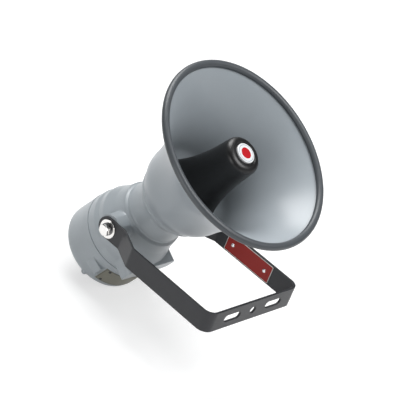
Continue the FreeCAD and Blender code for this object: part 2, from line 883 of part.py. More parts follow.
def make_bell_trim():
    """Rubber bead pushed over the bell's edge."""
    curve = bell_curve()
    run = curve.tangent(curve.LastParameter)[0]
    run = run if run.z > 0 else run * -1
    across = vec(-run.z, 0, run.x)
    centre = curve.EndPoint + across * (bell_wall / 2)
    bead = Part.makeTorus(centre.x, trim_radius, vec(0, 0, centre.z), AXIS)
    half = trim_lip_width / 2
    inner_end = centre - run * trim_lip_length
    near = [centre + across * half, centre - across * half]
    far = [inner_end - across * half, inner_end + across * half]
    lips = turned([(p.x, p.z) for p in near] + [(p.x, p.z, trim_lip_corner_radius) for p in far])
    trim = together([bead, lips])
    return largest(trim.cut(make_bell(trim_clearance)))


def largest(shape):
    """The one solid that counts, without the sliver a cut may leave beside it."""
    return max(shape.Solids, key=lambda solid: solid.Volume)


def make_bell_gasket():
    """Flat gasket between the housing's front face and the bell's back."""
    gasket = ring(flare_radius, tone_pilot_radius() + screw_hole_clearance, front_face_at, bell_back_at)
    return clear_of_tone_screws(gasket)


# Tone tube, spider and reflector


def make_tone_tube():
    """Tapered tube with a flange that clamps the bell, and a counterbore for the spider."""
    pilot_rear = front_face_at + arrestor_to_pilot_gap
    pilot = tone_pilot_radius()
    seat = spider_at
    seat_radius = tone_bore_front + spider_ring_wall
    end_outer = seat_radius + tone_wall
    hub = tone_bore_rear + 3 * tone_wall
    tube = turned([(tone_bore_rear, pilot_rear), (pilot, pilot_rear), (pilot, tone_flange_at),
                   (tone_flange_radius, tone_flange_at), (tone_flange_radius, tone_flange_front),
                   (hub, tone_flange_front, tone_flange_corner_radius),
                   (tone_bore_front + tone_wall, seat - spider_length), (end_outer, seat),
                   (end_outer, tone_tube_end_at), (seat_radius, tone_tube_end_at), (seat_radius, seat),
                   (tone_bore_front, seat)])
    return clear_of_tone_screws(tube)


def make_tone_screws():
    tip = front_face_at - tone_screw_engagement
    screw = socket_screw(m5_radius, m5_head_radius, m5_head_height, tone_flange_front, tip)
    screw.translate(vec(tone_screw_circle, 0, 0))
    return Part.makeCompound(round_the_axis(screw, tone_screw_count, tone_screw_turn_deg))


def make_spider():
    """Three-armed hub in the tone tube's end that carries the reflector."""
    outer = tone_bore_front + spider_ring_wall - screw_seat_clearance
    rim = ring(outer, tone_bore_front, spider_at, tone_tube_end_at)
    hub = Part.makeCylinder(spider_hub_radius, hub_front - spider_at, vec(0, 0, spider_at), AXIS)
    corner = vec(0, -spider_arm_thickness / 2, spider_at)
    arm = Part.makeBox(outer - spider_ring_wall / 2, spider_arm_thickness, spider_length, corner)
    spider = together([rim, hub] + round_the_axis(arm, spider_arms, QUARTER_TURN))
    bore = m5_radius + screw_seat_clearance
    return spider.cut(Part.makeCylinder(bore, 3 * spider_length, vec(0, 0, spider_at - spider_length), AXIS))


def make_reflector():
    """Hollow bullet, open to the rear, with a post inside its nose."""
    front_at = nose_at - nose_corner_radius - nose_straight
    rear_middle = (reflector_rear_at + reflector_middle_at) / 2
    span = reflector_rear_radius - reflector_middle_radius
    points = [(reflector_rear_radius, reflector_rear_at)]
    points += [(reflector_middle_radius + span * reflector_rear_share, rear_middle)]
    points += [(reflector_middle_radius, reflector_middle_at)]
    front_middle = (reflector_middle_at + front_at) / 2
    span = reflector_middle_radius - reflector_front_radius
    points += [(reflector_front_radius + span * reflector_front_share, front_middle)]
    points += [(reflector_front_radius, front_at)]
    outside = smooth(points)
    inside = smooth(beside(outside, reflector_wall, reflector_stations))
    corner = nose_corner_radius
    face_edge = reflector_front_radius - nose_step - corner
    halfway = corner * math.sqrt(1 / 2)
    bend = Part.Arc(vec(face_edge + corner, 0, nose_at - corner),
                    vec(face_edge + halfway, 0, nose_at - corner + halfway), vec(face_edge, 0, nose_at))
    start_in, end_in = inside.StartPoint, inside.EndPoint
    inner_nose = nose_at - nose_wall
    edges = [outside.toShape()]
    edges += [Part.LineSegment(outside.EndPoint, bend.StartPoint).toShape(), bend.toShape()]
    bore = m5_radius + screw_hole_clearance
    core = [(face_edge, nose_at), (screw_recess_radius, nose_at), (screw_recess_radius, nose_floor_at)]
    core += [(bore, nose_floor_at), (bore, hub_front), (post_radius, hub_front), (post_radius, inner_nose)]
    core += [(face_edge, inner_nose), (end_in.x, end_in.z)]
    edges += runs(core)
    edges += [inside.toShape(), Part.LineSegment(start_in, outside.StartPoint).toShape()]
    return turned_edges(Part.__sortEdges__(edges))


def make_reflector_screw():
    return socket_screw(m5_radius, m5_head_radius, m5_head_height, nose_floor_at, spider_at + screw_tip_room)


def make_badge():
    """Plain disc that covers the reflector's screw."""
    front = nose_at + badge_thickness
    return turned([(0, nose_at), (badge_radius, nose_at), (badge_radius, front, badge_thickness / 2),
                   (0, front)])


# Flame arrestor


def make_arrestor_body():
    """Flanged threaded bush in the bulkhead."""
    rear = bulkhead_at - arrestor_flange_thickness
    body = arrestor_radius - screw_seat_clearance
    return turned([(tone_bore_rear, rear), (arrestor_flange_radius, rear),
                   (arrestor_flange_radius, bulkhead_at), (body, bulkhead_at), (body, front_face_at),
                   (tone_bore_rear, front_face_at)])


def make_arrestor_element():
    """Sintered metal plug in the arrestor's bore."""
    middle = (bulkhead_at + front_face_at) / 2
    rear = middle - arrestor_element_length / 2
    radius = tone_bore_rear - screw_seat_clearance
    return Part.makeCylinder(radius, arrestor_element_length, vec(0, 0, rear), AXIS)


# Compression driver


def clear_of_screws(shape):
    tip = driver_seat_at + driver_screw_engagement
    holes = driver_screw_shafts(tip, m4_radius + screw_hole_clearance)
    return shape.cut(Part.makeCompound(holes))


def make_driver_gasket():
    bore = throat_cavity_radius + driver_gasket_margin
    return clear_of_screws(ring(driver_plate_radius, bore, driver_cover_front, driver_seat_at))


def make_driver_cover():
    """Front of the driver: clamp flange, front chamber and throat snout."""
    chamber = driver_cover_rear + front_chamber_depth
    plug_seat = chamber + phase_plug_thickness
    end = bulkhead_at - arrestor_flange_thickness - snout_end_gap
    cover = turned([(phase_plug_radius, chamber), (front_chamber_radius, chamber),
                    (front_chamber_radius, driver_cover_rear), (driver_plate_radius, driver_cover_rear),
                    (driver_plate_radius, driver_cover_front),
                    (snout_rear_radius, driver_cover_front, snout_corner_radius), (snout_front_radius, end),
                    (snout_bore_front, end), (phase_plug_radius - snout_bore_step, plug_seat),
                    (phase_plug_radius, plug_seat)])
    return clear_of_screws(cover)


def make_phase_plug():
    """Slotted disc with a cone, seated in the driver cover's throat."""
    rear = driver_cover_rear + front_chamber_depth
    front = rear + phase_plug_thickness
    radius = phase_plug_radius - screw_seat_clearance
    tip = front + phase_cone_length
    plug = turned([(0, rear), (radius, rear), (radius, front), (phase_cone_radius, front),
                   (phase_cone_tip_radius, tip), (0, tip)])
    slot_start = phase_cone_radius + phase_slot_inner_land
    slot_length = radius - phase_slot_outer_land - slot_start
    corner = vec(slot_start, -phase_slot_width / 2, rear - phase_plug_thickness)
    slot = Part.makeBox(slot_length, phase_slot_width, 3 * phase_plug_thickness, corner)
    return plug.cut(Part.makeCompound(round_the_axis(slot, phase_plug_slots)))


def diaphragm_at():
    return top_plate_front + diaphragm_play


def make_diaphragm():
    """Thin dome with a flat surround, free between clamp faces."""
    rear = diaphragm_at()
    front = rear + diaphragm_thickness
    shoulder = dome_radius / 2
    crown = front + dome_height
    hollow = rear + dome_height
    over = Part.BezierCurve()
    over.setPoles([vec(dome_radius, 0, front), vec(shoulder, 0, crown), vec(0, 0, crown)])
    under = Part.BezierCurve()
    under.setPoles([vec(0, 0, hollow), vec(shoulder, 0, hollow), vec(dome_radius, 0, rear)])
    edges = runs([(dome_radius, rear), (diaphragm_radius, rear), (diaphragm_radius, front)])
    edges += runs([(diaphragm_radius, front), (dome_radius, front)])
    edges += [over.toShape()]
    edges += runs([(0, crown), (0, hollow)])
    edges += [under.toShape()]
    return turned_edges(edges)


def make_voice_coil():
    front = diaphragm_at()
    return ring(voice_coil_outer, dome_radius, front - voice_coil_length, front)


def make_clamp_ring():
    return clear_of_screws(ring(driver_plate_radius, clamp_ring_bore, top_plate_front, driver_cover_rear))


def make_top_plate():
    bore = voice_coil_outer + gap_clearance
    return clear_of_screws(ring(driver_plate_radius, bore, top_plate_rear, top_plate_front))


def make_magnet():
    return turned([(magnet_bore, magnet_rear), (magnet_radius, magnet_rear, magnet_corner_radius),
                   (magnet_radius, top_plate_rear, magnet_corner_radius), (magnet_bore, top_plate_rear)])


def wire_notch():
    reach = driver_plate_radius + cut_overrun
    corner = vec(-wire_notch_width / 2, -reach, back_plate_rear - back_plate_thickness / 2)
    return Part.makeBox(wire_notch_width, wire_notch_depth + cut_overrun, 2 * back_plate_thickness, corner)


def make_back_plate():
    """Back plate and pole in one turned piece, vented, notched for the incoming wires."""
    pole_top = top_plate_front - diaphragm_play
    plate = turned([(pole_vent_radius, back_plate_rear), (driver_plate_radius, back_plate_rear),
                    (driver_plate_radius, magnet_rear), (pole_radius, magnet_rear), (pole_radius, pole_top),
                    (pole_vent_radius, pole_top)])
    plate = clear_of_screws(plate).cut(wire_notch())
    depth = cut_overrun + small_screw_engagement + small_screw_tip_room
    for x, y, radius in back_plate_holes():
        start = vec(x, y, back_plate_rear - cut_overrun)
        plate = plate.cut(Part.makeCylinder(radius + screw_seat_clearance, depth, start, AXIS))
    return plate


def back_plate_holes():
    holes = [(x, core_centre_height, m4_radius) for x in strap_screw_places()]
    holes += [(x, block_centre_height, m3_radius) for x in block_screw_places()]
    holes.append((ground_screw_x, ground_screw_y, m4_radius))
    return holes


def make_driver_screws():
    tip = driver_seat_at + driver_screw_engagement - small_screw_tip_room
    screw = socket_screw(m4_radius, m4_head_radius, m4_head_height, back_plate_rear, tip)
    screw.translate(vec(driver_screw_circle, 0, 0))
    return Part.makeCompound(round_the_axis(screw, driver_screw_count, driver_screw_turn_deg))


# Line transformer


def core_front():
    return back_plate_rear - core_clear_of_plate


def make_transformer_core():
    """Stack of E and I laminations."""
    low = core_centre_height - core_height / 2
    rear = core_front() - core_stack
    core = Part.makeBox(core_width, core_height, core_stack, vec(-core_width / 2, low, rear))
    window_width = core_width / 2 - 2 * core_leg
    window_height = core_height - 2 * core_leg
    for side in (-1, 1):
        left = core_leg if side > 0 else -core_leg - window_width
        corner = vec(left, low + core_leg, rear)
        core = core.cut(Part.makeBox(window_width, window_height, core_stack, corner))
    return core


def make_transformer_winding():
    """Coil on the core's middle leg, proud of the stack front and rear."""
    window_width = core_width / 2 - 2 * core_leg
    half_x = core_leg + window_width - winding_clearance
    tall = core_height - 2 * core_leg - 2 * winding_clearance
    low = core_centre_height - tall / 2
    front = core_front() + winding_overhang
    deep = core_stack + 2 * winding_overhang
    coil = Part.makeBox(2 * half_x, tall, deep, vec(-half_x, low, front - deep))
    upright = [edge for edge in coil.Edges if abs(edge.tangentAt(edge.FirstParameter).y) > 1 / 2]
    coil = coil.makeFillet(min(winding_corner_radius, window_width / 2), upright)
    leg = core_leg + winding_clearance
    corner = vec(-leg, core_centre_height - core_height / 2, core_front() - core_stack - winding_clearance)
    return coil.cut(Part.makeBox(2 * leg, core_height, core_stack + 2 * winding_clearance, corner))


def strap_screw_places():
    reach = core_width / 2 + strap_gauge + strap_foot_length / 2
    return [-reach, reach]


def make_transformer_strap():
    """Bent strap that holds the core down by its two side legs."""
    half = core_width / 2 + winding_clearance
    outer = half + strap_gauge
    foot = outer + strap_foot_length
    rear = core_front() - core_stack - winding_overhang - winding_clearance
    seat = back_plate_rear
    path = [(foot, seat), (half, seat), (half, rear), (-half, rear), (-half, seat), (-foot, seat)]
    path += [(-foot, seat - strap_gauge), (-outer, seat - strap_gauge), (-outer, rear - strap_gauge)]
    path += [(outer, rear - strap_gauge), (outer, seat - strap_gauge), (foot, seat - strap_gauge)]
    face = Part.Face(Part.makePolygon([vec(x, 0, z) for x, z in path + path[:1]]))
    strap = face.extrude(vec(0, strap_breadth, 0))
    strap.translate(vec(0, core_centre_height - strap_breadth / 2, 0))
    for x in strap_screw_places():
        start = vec(x, core_centre_height, seat - 2 * strap_gauge)
        strap = strap.cut(Part.makeCylinder(m4_radius + screw_hole_clearance, 3 * strap_gauge, start, AXIS))
    return strap


def make_strap_screws():
    screws = []
    seat = back_plate_rear - strap_gauge
    tip = back_plate_rear + small_screw_engagement
    for x in strap_screw_places():
        screw = socket_screw(m4_radius, m4_head_radius, m4_head_height, seat, tip)
        screw.translate(vec(x, core_centre_height, 0))
        screws.append(screw)
    return Part.makeCompound(screws)


# Terminal block and ground screw


def block_screw_places():
    reach = block_width / 2 - block_screw_from_end
    return [-reach, reach]


def block_pitch():
    return (block_width - block_end_land) / block_poles


def terminal_places():
    pitch = block_pitch()
    return [(i - (block_poles - 1) / 2) * pitch for i in range(block_poles)]


def make_terminal_block():
    """Moulded block with one clamp recess for each pole and a screw at each end."""
    low = block_centre_height - block_height / 2
    rear = back_plate_rear - block_depth
    block = Part.makeBox(block_width, block_height, block_depth, vec(-block_width / 2, low, rear))
    width = block_pitch() - block_wall
    height = block_height - 2 * block_wall
    for x in terminal_places():
        recess = Part.makeBox(width, height, block_slot_depth, vec(x - width / 2, low + block_wall, rear))
        foot = vec(x, block_centre_height, rear)
        hole = Part.makeCylinder(m3_radius + screw_seat_clearance, block_depth / 2, foot, AXIS)
        block = block.cut(recess).cut(hole)
    for x in block_screw_places():
        foot = vec(x, block_centre_height, rear)
        counterbore = Part.makeCylinder(block_screw_recess_radius, block_depth / 2, foot, AXIS)
        hole = Part.makeCylinder(m3_radius + screw_hole_clearance, block_depth, foot, AXIS)
        block = block.cut(counterbore).cut(hole)
    return block


def make_block_screws():
    seat = back_plate_rear - block_depth / 2
    tip = back_plate_rear + small_screw_engagement
    screws = []
    for x in block_screw_places():
        screw = socket_screw(m3_radius, block_screw_head_radius, m4_head_height, seat, tip)
        screw.translate(vec(x, block_centre_height, 0))
        screws.append(screw)
    return Part.makeCompound(screws)


def make_terminal_screws():
    floor = back_plate_rear - block_depth + block_slot_depth
    head_radius = block_pitch() / 2 - terminal_screw_margin
    head_height = block_slot_depth - terminal_screw_sunk
    screws = []
    for x in terminal_places():
        screw = socket_screw(m3_radius, head_radius, head_height, floor, floor + terminal_screw_length)
        screw.translate(vec(x, block_centre_height, 0))
        screws.append(screw)
    return Part.makeCompound(screws)


def make_ground_screw():
    seat = vec(0, 0, back_plate_rear)
    head = hexagon(ground_head_across_flats, ground_head_height, seat, AXIS * -1)
    shank = Part.makeCylinder(m4_radius, small_screw_engagement, seat, AXIS)
    screw = together([head, shank])
    screw.translate(vec(ground_screw_x, ground_screw_y, 0))
    return screw


def save(name, shape, on_horn=True):
    shape = shape.copy()
    if on_horn:
        shape.Placement = ON_TRUNNION.multiply(shape.Placement)
    shape.exportStep("parts/" + name + ".step")


os.makedirs("parts", exist_ok=True)
save("bracket", make_bracket(), False)
save("red_plate", make_red_plate(), False)
save("red_plate_rivets", make_rivets(), False)
for side_name, side in (("left", -1), ("right", 1)):
    save("trunnion_bolt_" + side_name, make_trunnion_bolt(side))
    save("flat_washer_" + side_name, make_flat_washer(side))
    save("lock_washer_" + side_name, make_lock_washer(side))
save("housing", make_housing())
save("cover_o_ring", make_o_ring())
save("rear_cover", make_rear_cover())
save("cover_set_screw", make_set_screw())
save("name_plate", make_name_plate())
save("name_plate_screws", make_name_plate_screws())
save("bell", make_bell())
save("bell_trim", make_bell_trim())
save("bell_gasket", make_bell_gasket())
save("tone_tube", make_tone_tube())
save("tone_tube_screws", make_tone_screws())
save("reflector_spider", make_spider())
save("reflector", make_reflector())
save("reflector_screw", make_reflector_screw())
save("badge", make_badge())
save("flame_arrestor_body", make_arrestor_body())
save("flame_arrestor_element", make_arrestor_element())
save("driver_gasket", make_driver_gasket())
save("driver_cover", make_driver_cover())
save("phase_plug", make_phase_plug())
save("diaphragm", make_diaphragm())
save("voice_coil", make_voice_coil())
save("diaphragm_clamp_ring", make_clamp_ring())
save("driver_top_plate", make_top_plate())
save("driver_magnet", make_magnet())
save("driver_back_plate", make_back_plate())
save("driver_screws", make_driver_screws())
save("transformer_core", make_transformer_core())
save("transformer_winding", make_transformer_winding())
save("transformer_strap", make_transformer_strap())
save("transformer_screws", make_strap_screws())
save("terminal_block", make_terminal_block())
save("terminal_block_screws", make_block_screws())
save("terminal_screws", make_terminal_screws())
save("ground_screw", make_ground_screw())
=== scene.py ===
import json
import math

import bmesh
import bpy
from mathutils import Matrix, Vector


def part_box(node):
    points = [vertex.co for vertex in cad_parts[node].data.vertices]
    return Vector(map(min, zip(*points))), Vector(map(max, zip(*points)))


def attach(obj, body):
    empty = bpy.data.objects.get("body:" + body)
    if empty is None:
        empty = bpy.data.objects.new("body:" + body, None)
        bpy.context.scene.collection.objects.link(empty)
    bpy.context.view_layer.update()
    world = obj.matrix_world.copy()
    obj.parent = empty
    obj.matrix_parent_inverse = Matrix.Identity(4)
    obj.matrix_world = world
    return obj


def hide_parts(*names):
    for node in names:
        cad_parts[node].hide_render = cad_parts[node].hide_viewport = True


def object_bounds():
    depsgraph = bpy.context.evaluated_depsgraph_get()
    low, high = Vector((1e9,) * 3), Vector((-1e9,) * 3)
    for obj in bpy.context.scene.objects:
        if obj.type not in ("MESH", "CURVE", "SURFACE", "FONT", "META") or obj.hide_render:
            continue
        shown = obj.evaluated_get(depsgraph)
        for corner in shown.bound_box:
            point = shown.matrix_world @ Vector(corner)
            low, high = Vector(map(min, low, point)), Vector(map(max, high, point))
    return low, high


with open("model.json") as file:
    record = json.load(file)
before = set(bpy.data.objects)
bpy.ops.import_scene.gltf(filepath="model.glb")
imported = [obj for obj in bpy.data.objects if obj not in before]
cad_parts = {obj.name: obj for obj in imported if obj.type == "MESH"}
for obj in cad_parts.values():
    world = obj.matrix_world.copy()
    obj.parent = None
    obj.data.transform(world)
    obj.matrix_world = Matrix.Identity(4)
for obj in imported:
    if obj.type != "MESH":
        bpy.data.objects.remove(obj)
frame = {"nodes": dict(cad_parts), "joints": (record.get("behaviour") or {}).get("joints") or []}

solid_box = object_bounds()
bpy.ops.object.select_all(action="DESELECT")


# Camera, about 2.6 m from the trunnion bolt that shows. It looks along the arm and a little down
# on the horn, and its long lens keeps the mouth's ellipse as narrow as it is in the photograph.
camera_place = Vector((-1.83803, -1.04107, 1.28266))
camera_right = Vector((0.65316, -0.68125, 0.33057))
camera_top = Vector((0.17304, 0.55929, 0.81071))
camera_back = camera_right.cross(camera_top)
camera_data = bpy.data.cameras.new("camera")
camera_data.sensor_width = 36
camera_data.lens = 172.39
camera_data.shift_x = -0.00155
camera_data.shift_y = 0.00395
camera_data.clip_end = 50
camera = bpy.data.objects.new("camera", camera_data)
bpy.context.scene.collection.objects.link(camera)
turned_to = Matrix((camera_right, camera_top, camera_back)).transposed().to_4x4()
camera.matrix_world = Matrix.Translation(camera_place) @ turned_to
bpy.context.scene.camera = camera


# Studio: a wide pale floor just under the lowest point, one large softbox above the horn, weaker
# ones on its right and left, and a soft surround.
bpy.context.scene.view_settings.view_transform = "Standard"
floor_gap = 0.0005
bpy.ops.mesh.primitive_plane_add(size=30, location=(0, 0, solid_box[0].z - floor_gap))
floor = bpy.context.active_object
floor.name = "floor"


def white_to_the_eye(tree, surface, strength):
    """Adds white to a surface for camera, mirror and glass rays only."""
    light_path = tree.nodes.new("ShaderNodeLightPath")
    seen = tree.nodes.new("ShaderNodeMath")
    seen.operation = "MAXIMUM"
    tree.links.new(light_path.outputs["Is Camera Ray"], seen.inputs[0])
    tree.links.new(light_path.outputs["Is Glossy Ray"], seen.inputs[1])
    seen_at_all = tree.nodes.new("ShaderNodeMath")
    seen_at_all.operation = "MAXIMUM"
    tree.links.new(seen.outputs[0], seen_at_all.inputs[0])
    tree.links.new(light_path.outputs["Is Transmission Ray"], seen_at_all.inputs[1])
    glow = tree.nodes.new("ShaderNodeEmission")
    glow.inputs["Color"].default_value = (1, 1, 1, 1)
    scaled = tree.nodes.new("ShaderNodeMath")
    scaled.operation = "MULTIPLY"
    scaled.inputs[1].default_value = strength
    tree.links.new(seen_at_all.outputs[0], scaled.inputs[0])
    tree.links.new(scaled.outputs[0], glow.inputs["Strength"])
    both = tree.nodes.new("ShaderNodeAddShader")
    tree.links.new(surface, both.inputs[0])
    tree.links.new(glow.outputs[0], both.inputs[1])
    return both.outputs[0]


floor_paint = bpy.data.materials.new("floor_paint")
floor_paint.use_nodes = True
floor_tree = floor_paint.node_tree
floor_shader = floor_tree.nodes["Principled BSDF"]
floor_shader.inputs["Base Color"].default_value = (0.5, 0.5, 0.5, 1)
floor_shader.inputs["Roughness"].default_value = 0.9
floor_shader.inputs["Specular IOR Level"].default_value = 0.1
floor_look = white_to_the_eye(floor_tree, floor_shader.outputs[0], 0.6)
floor_tree.links.new(floor_look, floor_tree.nodes["Material Output"].inputs["Surface"])
floor.data.materials.append(floor_paint)

surround = bpy.data.worlds.new("surround")
bpy.context.scene.world = surround
surround.use_nodes = True
surround_tree = surround.node_tree
surround_light = surround_tree.nodes["Background"]
surround_light.inputs["Color"].default_value = (0.93, 0.96, 1.0, 1)
surround_light.inputs["Strength"].default_value = 0.115
surround_rays = surround_tree.nodes.new("ShaderNodeLightPath")
surround_white = surround_tree.nodes.new("ShaderNodeBackground")
surround_white.inputs["Color"].default_value = (1, 1, 1, 1)
surround_mix = surround_tree.nodes.new("ShaderNodeMixShader")
surround_tree.links.new(surround_rays.outputs["Is Camera Ray"], surround_mix.inputs[0])
surround_tree.links.new(surround_light.outputs[0], surround_mix.inputs[1])
surround_tree.links.new(surround_white.outputs[0], surround_mix.inputs[2])
surround_tree.links.new(surround_mix.outputs[0], surround_tree.nodes["World Output"].inputs["Surface"])

horn_middle = Vector((0, 0.11, 0.09))


def softbox(name, right, top, back, size, power, colour=(1, 1, 1)):
    """A square lamp at so many metres from the horn, told by the camera's own directions."""
    data = bpy.data.lights.new(name, "AREA")
    data.size = size
    data.energy = power
    data.color = colour
    lamp = bpy.data.objects.new(name, data)
    bpy.context.scene.collection.objects.link(lamp)
    offset = camera_right * right + camera_top * top + camera_back * back
    lamp.location = horn_middle + offset
    lamp.rotation_mode = "QUATERNION"
    lamp.rotation_quaternion = offset.to_track_quat("Z", "Y")
    return lamp


softbox("key_softbox", 0.0, 1.9, 0.0, 1.2, 35)
softbox("right_softbox", 1.5, 0.7, 1.1, 1.2, 34)
softbox("left_softbox", -1.0, -0.2, 1.6, 0.9, 11)


# Bracket: one strap of hot-rolled flat steel, bent to a U with joggled arms, its ends rounded,
# two long slots and a hole punched in its base, then powder coated in satin black.
strap_low, strap_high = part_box("bracket")
strap_thickness = 0.0032
strap_width = 0.0295
trim_allowance = 0.002
trunnion = Vector(frame["joints"][0]["pos_m"])
ear_middle = 0.0701
arm_middle = strap_high.x - strap_thickness / 2
joggle_start = 0.026
joggle_end = 0.060
joggle_bend = 0.007
corner_bend = 0.0134
ear_overhang = 0.003


def select_where(kind, test):
    """Selects only those vertices, edges or faces of the piece in edit mode that pass the test."""
    piece = bpy.context.edit_object
    bpy.ops.mesh.select_mode(type={"verts": "VERT", "edges": "EDGE", "faces": "FACE"}[kind])
    bpy.ops.mesh.select_all(action="DESELECT")
    shape = bmesh.from_edit_mesh(piece.data)
    for part in getattr(shape, kind):
        part.select_set(bool(test(part)))
    shape.select_flush_mode()
    bmesh.update_edit_mesh(piece.data)


def apply_modifiers(piece):
    """Applies the piece's modifiers in their order."""
    bpy.context.view_layer.objects.active = piece
    piece.select_set(True)
    for modifier in list(piece.modifiers):
        bpy.ops.object.modifier_apply(modifier=modifier.name)
    piece.select_set(False)


def cut(piece, cutter, operation="DIFFERENCE"):
    """Cuts one closed piece with another, which is used up."""
    modifier = piece.modifiers.new("cut", "BOOLEAN")
    modifier.operation = operation
    modifier.solver = "MANIFOLD"
    modifier.object = cutter
    apply_modifiers(piece)
    bpy.data.objects.remove(cutter)


def soften(piece, width, segments=3, angle=40):
    """Rounds the piece's sharp edges and shades the rest smooth."""
    modifier = piece.modifiers.new("edges", "BEVEL")
    modifier.width = width
    modifier.segments = segments
    modifier.limit_method = "ANGLE"
    modifier.angle_limit = math.radians(angle)
    modifier.use_clamp_overlap = True
    modifier.harden_normals = True
    bpy.context.view_layer.objects.active = piece
    piece.select_set(True)
    bpy.ops.object.shade_smooth_by_angle(angle=math.radians(angle))
    piece.select_set(False)
    apply_modifiers(piece)


bpy.ops.mesh.primitive_plane_add(
    size=strap_width + trim_allowance,
    location=(-ear_middle, trunnion.y + ear_overhang, 0),
    rotation=(0, math.pi / 2, 0),
)
bracket = bpy.context.active_object
bracket.name = "bent_bracket"
bpy.ops.object.transform_apply(location=True, rotation=True, scale=True)
bpy.ops.object.mode_set(mode="EDIT")
ear_foot = trunnion.y + ear_overhang - strap_width / 2
select_where("edges", lambda e: all(v.co.y < ear_foot for v in e.verts))
strap_route = [
    (-ear_middle, ear_foot - trim_allowance / 2),
    (-ear_middle, trunnion.y - joggle_start),
    (-arm_middle, trunnion.y - joggle_end),
    (-arm_middle, strap_thickness / 2),
    (arm_middle, strap_thickness / 2),
    (arm_middle, trunnion.y - joggle_end),
    (ear_middle, trunnion.y - joggle_start),
    (ear_middle, trunnion.y + ear_overhang + strap_width / 2 + trim_allowance),
]
for here, there in zip(strap_route, strap_route[1:]):
    step = (there[0] - here[0], there[1] - here[1], 0)
    bpy.ops.mesh.extrude_edges_move(TRANSFORM_OT_translate={"value": step})


def at_bend(edge, x, y):
    """Whether an edge lies across the strap at one bend of its route, on either arm."""
    return all(abs(abs(v.co.x) - x) < 1e-5 and abs(v.co.y - y) < 1e-5 for v in edge.verts)


joggle_turn = math.atan2(arm_middle - ear_middle, joggle_end - joggle_start)
for bend_x, bend_y in ((ear_middle, trunnion.y - joggle_start), (arm_middle, trunnion.y - joggle_end)):
    select_where("edges", lambda e: at_bend(e, bend_x, bend_y))
    bpy.ops.mesh.bevel(offset=joggle_bend * math.tan(joggle_turn / 2), segments=6, affect="EDGES")
select_where("edges", lambda e: at_bend(e, arm_middle, strap_thickness / 2))
bpy.ops.mesh.bevel(offset=corner_bend, segments=14, affect="EDGES")
bpy.ops.mesh.select_all(action="SELECT")
bpy.ops.mesh.normals_make_consistent(inside=False)
bpy.ops.object.mode_set(mode="OBJECT")
thicken = bracket.modifiers.new("plate", "SOLIDIFY")
thicken.thickness = strap_thickness
thicken.offset = 0
thicken.use_even_offset = True
apply_modifiers(bracket)


def long_cutter(radius, depth, place, turned_by, stretch):
    """A round punch; stretch moves its two halves apart, to punch a slot."""
    bpy.ops.mesh.primitive_cylinder_add(vertices=64, radius=radius, depth=depth, location=place, rotation=turned_by)
    punch = bpy.context.active_object
    bpy.ops.object.transform_apply(location=True, rotation=True, scale=True)
    bpy.ops.object.mode_set(mode="EDIT")
    for side in (-1, 1):
        way = Vector(stretch) * side
        select_where("verts", lambda v: (v.co - Vector(place)).dot(way) > 1e-7)
        bpy.ops.transform.translate(value=way)
    bpy.ops.object.mode_set(mode="OBJECT")
    punch.select_set(False)
    return punch


across = (0, math.pi / 2, 0)
along_arms = (math.pi / 2, 0, 0)
shear_reach = 0.3
ear_round = trunnion.y + ear_overhang
shear = long_cutter(strap_width / 2, 0.25, (0, ear_round - shear_reach, 0), across, (0, shear_reach, 0))
cut(bracket, shear, "INTERSECT")
cut(bracket, long_cutter(0.00485, 0.25, trunnion, across, (0, 0, 0)))
hole_radius = 0.00555
slot_middle = 0.041275
slot_reach = 0.016 - hole_radius
cut(bracket, long_cutter(hole_radius, 0.02, (0, 0, 0), along_arms, (0, 0, 0)))
for slot_side in (-1, 1):
    punch_place = (slot_side * slot_middle, 0, 0)
    cut(bracket, long_cutter(hole_radius, 0.02, punch_place, along_arms, (slot_reach, 0, 0)))
soften(bracket, 0.0006, 3, 50)
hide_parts("bracket")
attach(bracket, "bracket")


def finish(name, colour, roughness, metallic=0.0, grain=900.0, depth=0.00004, mottle=0.12, patch=35.0, specular=0.5):
    """A surface with fine relief, slightly uneven colour and slightly uneven gloss."""
    material = bpy.data.materials.new(name)
    material.use_nodes = True
    tree = material.node_tree
    shader = tree.nodes["Principled BSDF"]
    shader.inputs["Metallic"].default_value = metallic
    shader.inputs["Specular IOR Level"].default_value = specular
    place = tree.nodes.new("ShaderNodeTexCoord")
    fine = tree.nodes.new("ShaderNodeTexNoise")
    fine.inputs["Scale"].default_value = grain
    fine.inputs["Detail"].default_value = 3
    broad = tree.nodes.new("ShaderNodeTexNoise")
    broad.inputs["Scale"].default_value = patch
    broad.inputs["Detail"].default_value = 4
    tree.links.new(place.outputs["Object"], fine.inputs["Vector"])
    tree.links.new(place.outputs["Object"], broad.inputs["Vector"])
    tint = tree.nodes.new("ShaderNodeMix")
    tint.data_type = "RGBA"
    tint.inputs["A"].default_value = tuple(c * (1 - mottle) for c in colour) + (1,)
    tint.inputs["B"].default_value = tuple(min(1, c * (1 + mottle)) for c in colour) + (1,)
    tree.links.new(broad.outputs["Fac"], tint.inputs["Factor"])
    tree.links.new(tint.outputs["Result"], shader.inputs["Base Color"])
    gloss = tree.nodes.new("ShaderNodeMapRange")
    gloss.inputs["To Min"].default_value = roughness - mottle / 2
    gloss.inputs["To Max"].default_value = roughness + mottle / 2
    tree.links.new(broad.outputs["Fac"], gloss.inputs["Value"])
    tree.links.new(gloss.outputs["Result"], shader.inputs["Roughness"])
    relief = tree.nodes.new("ShaderNodeBump")
    relief.inputs["Distance"].default_value = depth
    relief.inputs["Strength"].default_value = 1
    tree.links.new(fine.outputs["Fac"], relief.inputs["Height"])
    tree.links.new(relief.outputs["Normal"], shader.inputs["Normal"])
    return material


def coat(piece, material):
    """Gives a piece one finish all over."""
    piece.data.materials.clear()
    piece.data.materials.append(material)


coat(bracket, finish("bracket_powder_coat", (0.043, 0.044, 0.048), 0.36, grain=1500, depth=0.00004, specular=0.3))


